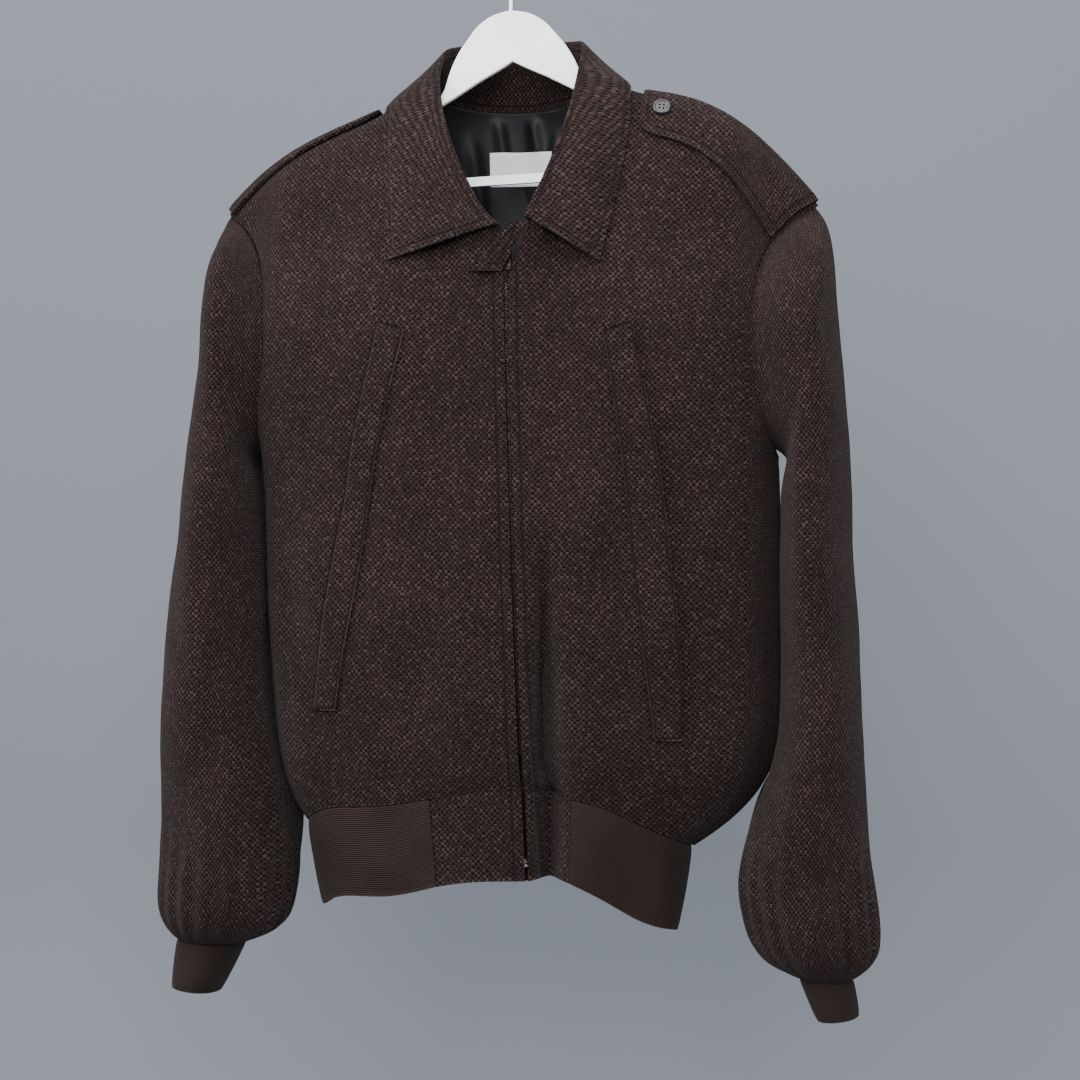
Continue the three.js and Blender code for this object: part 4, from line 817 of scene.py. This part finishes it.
@dataclass(frozen=True)
class Cloth:
    """How one cut piece of cloth is finished.

    Attributes:
        node: The solid that it replaces.
        slot: The record's material slot; not used.
        outer: The finish of its outside.
        inner: The finish of its inside.
        flat: Width and length of the rectangle that it is cut from, in metres; not used.
        area: Area of the cut, in square metres; not used.
        spine: Points inside the wrapped body, in millimetres, that its outside faces away from.
        thickness: The wall's thickness, in millimetres.
        levels: How often it is subdivided.
        relax: How often its surface is smoothed.
        folds: The folds given.
        ripple: Height of the cloth's slow waves, in millimetres.
        pucker: How far its edges are drawn in, in millimetres.
        held: How it is held; not used.
        rests_on: What holds it; not used.
        seam_reach: How far from a rim its folds and waves reach their full depth, in millimetres.
        under: The pieces that it lies on, whose waves it follows.
        evening: How often the inflation is evened out.
        gape: How far the outer edge of a welt stands off, in millimetres.
        regain: The share of the roundness lost in subdividing that is put back first.
        oval: A tube's cross section, or None for a piece that faces the front or the back.
        turn: How far out, and how far from the middle plane, it turns to the side, in millimetres.
        faces_back: Whether it faces the back.
        tuck: How a sleeve's inner side swells towards the body, or None.
        pucker_reach: How far from its edges the cloth is drawn in, in millimetres.
    """

    node: str
    slot: str
    outer: bpy.types.Material
    inner: bpy.types.Material
    flat: tuple[float, float]
    area: float
    spine: tuple[tuple[float, float, float], ...]
    thickness: float = 2.4
    levels: int = 3
    relax: int = 14
    folds: tuple[Fold, ...] = ()
    ripple: float = 1.2
    pucker: float = 0.7
    held: str = "hung"
    rests_on: tuple[str, ...] = ("hanger_frame",)
    seam_reach: float = 24.0
    under: tuple[str, ...] = ()
    evening: int = 1
    gape: float = 0.0
    regain: float = 1.0
    oval: Oval | None = None
    turn: tuple[float, float] = (190.0, 52.0)
    faces_back: bool = False
    tuck: Tuck | None = None
    pucker_reach: float = 5.5

    def make(self) -> bpy.types.Object:
        """Builds the piece in place of its solid.

        Returns:
            The finished piece.
        """
        piece = joined_copy(self.node, f"{self.node}_cloth")
        for material in (self.outer, self.inner, self.outer):
            piece.data.materials.append(material)
        self._sort_faces(piece)
        self._inflate(piece)
        apply_modifier(piece, "SUBSURF", levels=self.levels, render_levels=self.levels)
        rims = rim_vertices(piece.data)
        self._relax(piece, rims)
        if self.under:
            self._follow(piece)
            self._open_mouth(piece)
        else:
            self._shape(piece, rims)
            self._swell(piece)
        self._finish_rims(piece, rims)
        self._map_cloth(piece)
        select_only(piece)
        bpy.ops.object.shade_smooth_by_angle(angle=math.radians(52))
        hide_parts(self.node)
        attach(piece, "root")
        log.info("%s: %d faces", piece.name, len(piece.data.polygons))
        return piece

    def away(self, place: Vector) -> Vector:
        """The way out of the wrapped body at a place, from the nearest point of its spine."""
        return (place - self._nearest(place)).normalized()

    def _nearest(self, place: Vector) -> Vector:
        """The point of the spine that is nearest to a place."""
        best, found = math.inf, place
        for first, second in zip(self.spine, self.spine[1:]):
            a, b = Vector(first) * MM, Vector(second) * MM
            t = min(max((place - a).dot(b - a) / (b - a).length_squared, 0.0), 1.0)
            near = a.lerp(b, t)
            if (place - near).length < best:
                best, found = (place - near).length, near
        return found

    def _sort_faces(self, piece: bpy.types.Object) -> None:
        """Parts the wall into its outside, inside and rims, and keeps the rims' edges sharp.

        The three are told apart by the finish's index: 0 outside, 1 inside, 2 rim.
        """
        mesh = bmesh.new()
        mesh.from_mesh(piece.data)
        mesh.normal_update()
        crease = mesh.edges.layers.float.new("crease_edge")
        low, high = 0.6 * self.thickness * MM, 1.5 * self.thickness * MM
        slim = set()
        for face in mesh.faces:
            short = sum(low < edge.calc_length() < high for edge in face.edges)
            if short >= len(face.verts) // 2 and face.calc_area() < high * max_length(face):
                slim.add(face)
        sharp = {
            edge
            for edge in mesh.edges
            if len(edge.link_faces) == 2
            and edge.calc_face_angle() > math.radians(42)
            and any(face in slim for face in edge.link_faces)
        }
        for edge in sharp:
            edge[crease] = 1.0
        areas = sorted(connected_faces(mesh, sharp), key=len, reverse=True)
        outside = max(areas[:2], key=self._outwardness)
        for area in areas:
            index = 2 if area not in areas[:2] else int(area is not outside)
            for face in area:
                face.material_index = index
        log.info("%s: areas of %s faces", piece.name, [len(area) for area in areas][:6])
        mesh.to_mesh(piece.data)
        mesh.free()

    def _inflate(self, piece: bpy.types.Object) -> None:
        """Moves the coarse wall out by as much as subdividing would draw it in."""
        mesh = piece.data
        trial = bpy.data.objects.new("trial", mesh.copy())
        bpy.context.scene.collection.objects.link(trial)
        apply_modifier(trial, "SUBSURF", levels=2, render_levels=2)
        rims = rim_vertices(mesh)
        ways = [self.away(vertex.co) for vertex in mesh.vertices]
        shifts = []
        for vertex, way in zip(mesh.vertices, ways):
            drawn = (vertex.co - trial.data.vertices[vertex.index].co).dot(way)
            shifts.append(0.0 if vertex.index in rims else drawn * self.regain)
        bpy.data.objects.remove(trial)
        shifts = evened(mesh, shifts, self.evening, rims)
        for vertex, way, shift in zip(mesh.vertices, ways, shifts):
            vertex.co += way * shift

    def _follow(self, piece: bpy.types.Object) -> None:
        """Moves a piece that lies on others by as much as their smooth cloth left their solids."""
        before = surface_of([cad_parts[node] for node in self.under])
        after = surface_of([bpy.data.objects[f"{node}_cloth"] for node in self.under])
        reach = 60 * MM
        ways = [self.away(vertex.co) for vertex in piece.data.vertices]
        shifts = []
        for vertex, way in zip(piece.data.vertices, ways):
            start = vertex.co + way * (reach / 2)
            solid = before.ray_cast(start, -way, reach)[3]
            cloth = after.ray_cast(start, -way, reach)[3]
            met = solid is not None and cloth is not None and abs(solid - cloth) < 6 * MM
            shifts.append(solid - cloth if met else 0.0)
        for vertex, way, shift in zip(piece.data.vertices, ways, evened(piece.data, shifts, 24)):
            vertex.co += way * shift

    def _swell(self, piece: bpy.types.Object) -> None:
        """Lets a sleeve's inner side swell towards the body."""
        if not self.tuck:
            return
        for vertex in piece.data.vertices:
            place = vertex.co
            inward = max(0.0, -math.copysign(1.0, place.x) * self.away(place).x)
            vertex.co.x -= math.copysign(inward * self.tuck.depth_at(place), place.x)

    def _open_mouth(self, piece: bpy.types.Object) -> None:
        """Lets a welt's outer edge stand off between its ends."""
        if not self.gape:
            return
        places = [vertex.co.copy() for vertex in piece.data.vertices]
        top, foot = max(p.z for p in places), min(p.z for p in places)
        for vertex, place in zip(piece.data.vertices, places):
            row = [abs(p.x) for p in places if abs(p.z - place.z) < 4 * MM]
            across = (abs(place.x) - min(row)) / max(max(row) - min(row), MM)
            down = (top - place.z) / (top - foot)
            share = smooth_step(across) * smooth_step(down * 2.2) * smooth_step((1 - down) * 3)
            vertex.co += self.away(place) * (self.gape * share * MM)

    def _map_cloth(self, piece: bpy.types.Object) -> None:
        """Gives the piece its cloth map, in metres along and down the cloth."""
        mesh = piece.data
        layer = mesh.uv_layers.new(name="cloth").data
        spots = [self._spot(vertex.co) for vertex in mesh.vertices]
        for face in mesh.polygons:
            base = spots[face.vertices[0]]
            for loop, index in zip(face.loop_indices, face.vertices):
                u, v = spots[index]
                if self.oval:
                    u += round((base[0] - u) / self.oval.girth) * self.oval.girth
                layer[loop].uv = (u, v)

    def _spot(self, place: Vector) -> tuple[float, float]:
        """Where a place lies on the flat cloth, in metres."""
        if self.oval:
            middle = Vector((*self.oval.shift, 0)) if self.oval.shift else self._nearest(place)
            out = place - middle
            return self.oval.around(out.x, out.y), place.z
        turn_x, turn_y = (size * MM for size in self.turn)
        share = smooth_step((abs(place.x) - turn_x) / (30 * MM))
        inward = turn_y - place.y if self.faces_back else turn_y + place.y
        return place.x + math.copysign(share * inward, place.x), place.z

    def _outwardness(self, area: list) -> float:
        """How much an area of faces looks away from the spine."""
        return sum(
            face.normal.dot(self.away(face.calc_center_median())) * face.calc_area() for face in area
        )

    def _relax(self, piece: bpy.types.Object, rims: set[int]) -> None:
        """Smooths the surface between its rims."""
        if not self.relax:
            return
        mesh = piece.data
        held = set(rims)
        for face in mesh.polygons:
            if face.material_index == 2:
                held.update(face.vertices)
        select_only(piece)
        for vertex in mesh.vertices:
            vertex.select = vertex.index not in held
        for edge in mesh.edges:
            edge.select = not (edge.vertices[0] in held or edge.vertices[1] in held)
        for face in mesh.polygons:
            face.select = not any(v in held for v in face.vertices)
        bpy.ops.object.mode_set(mode="EDIT")
        bpy.ops.mesh.vertices_smooth(factor=0.5, repeat=self.relax)
        bpy.ops.object.mode_set(mode="OBJECT")

    def _shape(self, piece: bpy.types.Object, rims: set[int]) -> None:
        """Moves the cloth into its folds and slow waves, both faces together, and less near seams."""
        tree = tree_of(piece.data, rims)
        for vertex in piece.data.vertices:
            place = vertex.co
            near = smooth_step(tree.find(place)[2] / (self.seam_reach * MM))
            if near == 0:
                continue
            depth = sum(fold.depth_at(place.x / MM, place.z / MM) for fold in self.folds)
            slow = noise.noise(place * SLOW_WAVE + Vector(SLOW_START))
            quick = noise.noise(place * QUICK_WAVE)
            depth += self.ripple * (slow + QUICK_SHARE * quick)
            vertex.co = place - self.away(place) * (depth * near * MM)

    def _finish_rims(self, piece: bpy.types.Object, rims: set[int]) -> None:
        """Draws the outside in at its rims, and stores how far each vertex is from and along them."""
        mesh = piece.data
        mesh.update()
        if not rims:
            return
        tree = tree_of(mesh, rims)
        along = self._walk_rims(mesh, rims)
        normals = outside_normals(mesh)
        away, place, moves = [], [], {}
        for vertex in mesh.vertices:
            _, nearest, distance = tree.find(vertex.co)
            away.append(distance)
            place.append(along.get(nearest, 0.0))
            near = max(0.0, 1 - distance / (self.pucker_reach * MM))
            if self.pucker and near and vertex.index in normals:
                moves[vertex.index] = normals[vertex.index] * (-self.pucker * MM * near**2)
        for index, move in moves.items():
            mesh.vertices[index].co += move
        set_float(piece, "rim", away)
        set_float(piece, "along", place)

    @staticmethod
    def _walk_rims(mesh: bpy.types.Mesh, rims: set[int]) -> dict[int, float]:
        """The distance walked along the rim to each of its vertices."""
        links: dict[int, list[int]] = {index: [] for index in rims}
        for edge in mesh.edges:
            first, second = edge.vertices
            if first in rims and second in rims:
                links[first].append(second)
                links[second].append(first)
        walked: dict[int, float] = {}
        for start in sorted(rims):
            if start in walked:
                continue
            walked[start] = 0.0
            queue = [start]
            while queue:
                here = queue.pop()
                for other in links[here]:
                    if other not in walked:
                        step = (mesh.vertices[other].co - mesh.vertices[here].co).length
                        walked[other] = walked[here] + step
                        queue.append(other)
        return walked


def arm_spine(side: Side) -> tuple[tuple[float, float, float], ...]:
    """Points down the middle of a sleeve, from the shoulder to the cuff."""
    sign = side.sign
    return (
        (sign * 236.0, 0.0, -340.0),
        (sign * 250.0, 0.0, -470.0),
        (sign * 256.0, -3.0, -690.0),
        (sign * 250.0, -7.0, -830.0),
        (sign * 271.0, -9.0, -925.0),
    )


@dataclass
class Body:
    """The fronts, the back and the waistband."""

    wardrobe: Wardrobe
    spine: tuple[tuple[float, float, float], ...] = BODY_SPINE
    front_folds: dict[Side, tuple[Fold, ...]] = field(
        default_factory=lambda: {
            Side.LEFT: (
                Fold(-60, -330, -36, -560, 3.5, 16),
                Fold(-128, -420, -104, -640, 3.0, 18),
                Fold(-30, -520, -22, -700, -2.5, 12),
                Fold(-190, -520, -150, -700, 3.5, 14),
                Fold(-96, -650, -84, -745, 4.0, 11),
            ),
            Side.RIGHT: (
                Fold(47, -500, 47, -830, 16.0, 9),
                Fold(58, -330, 62, -560, 3.0, 15),
                Fold(98, -470, 118, -690, 3.5, 18),
                Fold(184, -500, 196, -700, 4.0, 14),
                Fold(112, -690, 128, -790, 4.0, 11),
                Fold(140, -230, 168, -300, 4.0, 14),
            ),
        }
    )
    back_folds: tuple[Fold, ...] = (
        Fold(-40, -330, -58, -600, 4.0, 20),
        Fold(60, -360, 74, -620, 4.5, 22),
        Fold(-140, -420, -132, -660, 4.0, 18),
        Fold(4, -560, -12, -720, 3.5, 14),
        Fold(150, -600, 128, -750, 4.5, 13),
    )

    def make(self) -> None:
        """Builds the body's pieces."""
        wear = self.wardrobe
        for side in Side:
            name = f"front_{side.value}"
            Cloth(
                name, "wool", wear.wool_zip, wear.satin, (0.27, 0.66), 0.137, self.spine,
                folds=self.front_folds[side], relax=6,
            ).make()
        Cloth(
            "back", "wool", wear.wool, wear.satin, (0.52, 0.64), 0.287, self.spine,
            folds=self.back_folds, faces_back=True,
        ).make()
        tabs = {Side.LEFT: ((0.085, 0.08), 0.0055), Side.RIGHT: ((0.09, 0.08), 0.0065)}
        for side, (flat, area) in tabs.items():
            Cloth(
                f"band_tab_{side.value}", "wool", wear.wool_zip, wear.satin, flat, area, self.spine,
                thickness=3.0, ripple=0.0, relax=3,
            ).make()
        rib = Cloth(
            "band_rib", "rib", wear.rib, wear.rib, (0.76, 0.08), 0.0539, self.spine,
            thickness=2.8, ripple=0.5, relax=8, held="stretched",
        ).make()
        mark_down(rib)


@dataclass
class Arm:
    """A sleeve and its cuff."""

    wardrobe: Wardrobe
    side: Side
    folds: dict[Side, tuple[Fold, ...]] = field(
        default_factory=lambda: {
            Side.LEFT: (
                Fold(-262, -330, -236, -520, 4.0, 15),
                Fold(-284, -470, -262, -700, 3.5, 12),
                Fold(-228, -560, -244, -760, 4.0, 12),
            ),
            Side.RIGHT: (
                Fold(250, -330, 262, -520, 4.0, 15),
                Fold(280, -480, 262, -700, 3.5, 12),
                Fold(240, -580, 262, -790, 4.0, 12),
            ),
        }
    )

    def make(self) -> None:
        """Builds the sleeve and its cuff."""
        wear, name = self.wardrobe, self.side.value
        spine = arm_spine(self.side)
        Cloth(
            f"sleeve_{name}", "wool", wear.wool, wear.satin, (0.43, 0.64), 0.202, spine,
            folds=self.folds[self.side], relax=9, oval=Oval(0.03, 0.082), evening=0, tuck=Tuck(),
        ).make()
        cuff = Cloth(
            f"cuff_{name}", "rib", wear.rib, wear.rib, (0.16, 0.06), 0.0068, spine,
            thickness=2.8, ripple=0.2, relax=4, held="stretched", rests_on=(f"sleeve_{name}",),
            oval=Oval(0.023, 0.035),
        ).make()
        mark_down(cuff)


def mark_down(piece: bpy.types.Object) -> None:
    """Stores how far down a rib band each vertex lies, from 0 at its seam to 1 at its foot."""
    mesh = piece.data
    rims = rim_vertices(mesh)
    level: set[int] = set()
    for edge in mesh.edges:
        first, second = (mesh.vertices[index].co for index in edge.vertices)
        run = second - first
        if all(index in rims for index in edge.vertices) and abs(run.z) < 0.6 * run.length:
            level.update(edge.vertices)
    middle = sum(mesh.vertices[index].co.z for index in level) / len(level)
    top = tree_of(mesh, {index for index in level if mesh.vertices[index].co.z > middle})
    foot = tree_of(mesh, {index for index in level if mesh.vertices[index].co.z <= middle})
    down = []
    for vertex in mesh.vertices:
        above, below = top.find(vertex.co)[2], foot.find(vertex.co)[2]
        down.append(above / max(above + below, 1e-9))
    set_float(piece, "down", down)


@dataclass
class Collar:
    """The shirt collar, and the neck tab across the top of the zip."""

    wardrobe: Wardrobe

    def make(self) -> None:
        """Builds the collar and the tab."""
        wear = self.wardrobe
        ring = ((-52.0, 0.0, -150.0), (0.0, 52.0, -140.0), (52.0, 0.0, -150.0), (14.0, -60.0, -240.0))
        Cloth(
            "collar", "wool", wear.wool_edge, wear.wool_edge, (0.52, 0.13), 0.0548, ring,
            thickness=3.0, relax=3, ripple=0.3, pucker=0.5, oval=Oval(0.09, 0.085, (0.0, -0.01)),
            rests_on=("front_left", "back", "front_right"),
        ).make()
        Cloth(
            "neck_tab", "wool", wear.wool_edge, wear.wool_edge, (0.032, 0.048), 0.00085,
            ((14.0, 0.0, -280.0), (14.0, 0.0, -300.0)),
            ripple=0.0, relax=0, pucker=0.5, rests_on=("front_left",), held="laid",
        ).make()


@dataclass
class Trimmings:
    """The pocket welts and the epaulettes with their buttons."""

    wardrobe: Wardrobe
    gape: dict[Side, float] = field(default_factory=lambda: {Side.LEFT: 1.0, Side.RIGHT: 6.5})

    def make(self) -> None:
        """Builds the welts and the epaulettes, and finishes the buttons."""
        wear = self.wardrobe
        for side in Side:
            name = side.value
            Cloth(
                f"welt_{name}", "wool", wear.wool_welt, wear.wool, (0.026, 0.36), 0.0083, BODY_SPINE,
                thickness=2.0, relax=0, pucker=0.5, under=(f"front_{name}",), regain=0.0,
                rests_on=(f"front_{name}",), held="laid", gape=self.gape[side],
            ).make()
            Cloth(
                f"epaulette_{name}", "wool", wear.wool_edge, wear.wool, (0.062, 0.17), 0.0092,
                ((side.sign * 60.0, 0.0, -230.0), (side.sign * 200.0, 0.0, -300.0)),
                thickness=3.2, relax=2, pucker=0.7, under=(f"front_{name}", "back"), regain=0.3,
                rests_on=(f"front_{name}", "back"), held="laid",
            ).make()
            dress(f"button_{name}", wear.horn)


def dress(node: str, material: bpy.types.Material) -> None:
    """Gives a solid of the frame its finish."""
    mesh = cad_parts[node].data
    mesh.materials.clear()
    mesh.materials.append(material)
    log.info("%s: dressed", node)


@dataclass
class Inside:
    """The lining at the back of the neck and its blank label."""

    wardrobe: Wardrobe
    folds: tuple[Fold, ...] = (
        Fold(-22, -150, -14, -215, 4.2, 5),
        Fold(8, -148, 16, -205, 4.6, 5),
        Fold(34, -160, 22, -240, 4.2, 5),
        Fold(-46, -165, -34, -260, 4.4, 6),
        Fold(-6, -200, 10, -290, -2.2, 8),
    )

    def make(self) -> None:
        """Builds the lining and the label."""
        wear = self.wardrobe
        spine = ((0.0, 0.0, -170.0), (0.0, 0.0, -400.0))
        Cloth(
            "lining", "lining", wear.satin, wear.satin, (0.15, 0.24), 0.031, spine,
            thickness=1.0, ripple=1.1, relax=4, pucker=0.0, rests_on=("back",), folds=self.folds,
            seam_reach=10.0,
        ).make()
        Cloth(
            "label", "label", wear.label, wear.label, (0.06, 0.032), 0.00175, spine,
            thickness=0.8, relax=0, pucker=0.0, rests_on=("lining",), under=("lining",),
        ).make()


@dataclass
class Zip:
    """The zip's tapes, its chain of teeth, slider and bottom stop."""

    wardrobe: Wardrobe
    pitch: float = 2.3
    tooth: tuple[float, float, float] = (3.0, 1.9, 1.3)

    def make(self) -> None:
        """Builds the tapes and the teeth, and finishes the metal parts."""
        wear = self.wardrobe
        spine = ((14.0, 0.0, -300.0), (27.0, 0.0, -800.0))
        for side in Side:
            Cloth(
                f"zip_tape_{side.value}", "zip_tape", wear.tape, wear.tape, (0.011, 0.5), 0.0036, spine,
                thickness=1.0, ripple=0.0, relax=0, pucker=0.0, levels=1, regain=0.0,
                rests_on=(f"front_{side.value}",),
            ).make()
        self._teeth()
        dress("zip_slider", wear.metal)
        dress("zip_stop", wear.metal)

    def _teeth(self) -> None:
        """Models one tooth and copies it down the chain, by turns to each side."""
        chain = joined_copy("zip_chain", "zip_chain_path")
        places = sorted(chain.data.vertices, key=lambda v: -v.co.z)
        top, foot = places[0].co.z, places[-1].co.z
        rows = [(v.co.z, v.co.y) for v in places]
        tooth = self._tooth()
        verts, faces = [], []
        count = int((top - foot) / (self.pitch * MM / 2)) - 1
        line = ZipLine()
        for k in range(count):
            z = top - (k + 1) * self.pitch * MM / 2
            near = sorted(rows, key=lambda row: abs(row[0] - z))[:8]
            y = sum(row[1] for row in near) / len(near)
            side = 1 if k % 2 else -1
            start = len(verts)
            for v in tooth.data.vertices:
                verts.append((line.x_at(z) + side * (0.75 * MM + v.co.x), y + v.co.y, z + v.co.z))
            for face in tooth.data.polygons:
                faces.append([start + index for index in face.vertices])
        mesh = bpy.data.meshes.new("zip_teeth")
        mesh.from_pydata(verts, [], faces)
        piece = bpy.data.objects.new("zip_teeth", mesh)
        bpy.context.scene.collection.objects.link(piece)
        mesh.materials.append(self.wardrobe.metal)
        for helper in (chain, tooth):
            bpy.data.objects.remove(helper)
        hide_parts("zip_chain")
        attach(piece, "root")
        log.info("%s: %d teeth", piece.name, count)

    def _tooth(self) -> bpy.types.Object:
        """Models one tooth: a small block with a narrowed, rounded head."""
        bpy.ops.object.select_all(action="DESELECT")
        bpy.ops.mesh.primitive_cube_add(size=1, scale=tuple(size * MM for size in self.tooth))
        tooth = bpy.context.object
        bpy.ops.object.transform_apply(location=False, rotation=False, scale=True)
        bpy.ops.object.mode_set(mode="EDIT")
        bpy.ops.mesh.select_all(action="SELECT")
        bpy.ops.mesh.bevel(offset=0.25 * MM, segments=1)
        bpy.ops.object.mode_set(mode="OBJECT")
        return tooth


@dataclass
class Hanger:
    """The flat hanger, its lower bar and its wire hook."""

    wardrobe: Wardrobe

    def make(self) -> None:
        """Finishes the hanger's solids."""
        dress("hanger_frame", self.wardrobe.white)
        dress("hanger_bar", self.wardrobe.white)
        dress("hook", self.wardrobe.wire)


@dataclass
class Studio:
    """The camera, the lights and the pale room."""

    target: tuple[float, float, float] = (0.025, 0.0, -0.523)
    distance: float = 2.3
    azimuth: float = 9.0
    lens: float = 90.73
    floor_z: float = -1.5
    wall_y: float = 1.1

    def make(self) -> None:
        """Makes the camera, the lights, the floor and the wall behind."""
        self._camera()
        self._light("key", (-2.2, -1.6, 0.9), 1.9, 112)
        self._light("fill", (2.5, -1.5, 0.5), 2.2, 52)
        self._light("front", (0.2, -2.7, 0.25), 1.2, 92)
        self._light("top", (0.1, -1.3, 1.5), 1.2, 30)
        self._light("wall_wash", (0.0, -0.4, 2.2), 2.4, 26)
        world = bpy.data.worlds.new("soft_room")
        bpy.context.scene.world = world
        world.use_nodes = True
        world.node_tree.nodes["Background"].inputs[0].default_value = (0.75, 0.8, 0.88, 1)
        world.node_tree.nodes["Background"].inputs[1].default_value = 0.7
        self._room()

    def _camera(self) -> None:
        """Makes the camera at the photograph's place."""
        turn = math.radians(self.azimuth)
        target = Vector(self.target)
        camera = bpy.data.cameras.new("camera")
        camera.lens = self.lens
        camera.sensor_width = 36
        camera.clip_end = 30
        eye = bpy.data.objects.new("camera", camera)
        eye.location = target + self.distance * Vector((math.sin(turn), -math.cos(turn), 0))
        eye.rotation_euler = (math.radians(90), 0, turn)
        bpy.context.scene.collection.objects.link(eye)
        bpy.context.scene.camera = eye

    def _light(self, name: str, place: tuple[float, float, float], size: float, power: float) -> None:
        """Adds a soft square light that points at the jacket."""
        lamp = bpy.data.lights.new(name, "AREA")
        lamp.size = size
        lamp.energy = power
        source = bpy.data.objects.new(name, lamp)
        source.location = place
        aim = Vector(self.target) - Vector(place)
        source.rotation_euler = aim.to_track_quat("-Z", "Y").to_euler()
        bpy.context.scene.collection.objects.link(source)

    def _room(self) -> None:
        """Makes a pale floor that curves up into the wall behind."""
        bpy.ops.object.select_all(action="DESELECT")
        bpy.ops.mesh.primitive_plane_add(size=14, location=(0, self.wall_y - 7, self.floor_z))
        room = bpy.context.object
        room.name = "floor_and_wall"
        bpy.ops.object.mode_set(mode="EDIT")
        bpy.ops.mesh.select_all(action="DESELECT")
        bpy.ops.object.mode_set(mode="OBJECT")
        for edge in room.data.edges:
            ends = [room.matrix_world @ room.data.vertices[i].co for i in edge.vertices]
            edge.select = all(abs(end.y - self.wall_y) < 0.01 for end in ends)
        bpy.ops.object.mode_set(mode="EDIT")
        bpy.ops.mesh.extrude_region_move(TRANSFORM_OT_translate={"value": (0, 0, 7)})
        bpy.ops.mesh.select_all(action="DESELECT")
        bpy.ops.object.mode_set(mode="OBJECT")
        apply_modifier(room, "BEVEL", width=0.6, segments=10)
        bpy.ops.object.shade_smooth()
        material, _, _ = new_material("pale_room", (0.15, 0.163, 0.186), 0.9)
        room.data.materials.append(material)


def main() -> None:
    """Builds the jacket, the hanger and the studio in order."""
    logging.basicConfig(level=logging.INFO, format="%(message)s")
    Studio().make()
    wardrobe = fill_wardrobe()
    Body(wardrobe).make()
    for side in Side:
        Arm(wardrobe, side).make()
    Collar(wardrobe).make()
    Trimmings(wardrobe).make()
    Inside(wardrobe).make()
    Zip(wardrobe).make()
    Hanger(wardrobe).make()


if __name__ == "__main__":
    main()
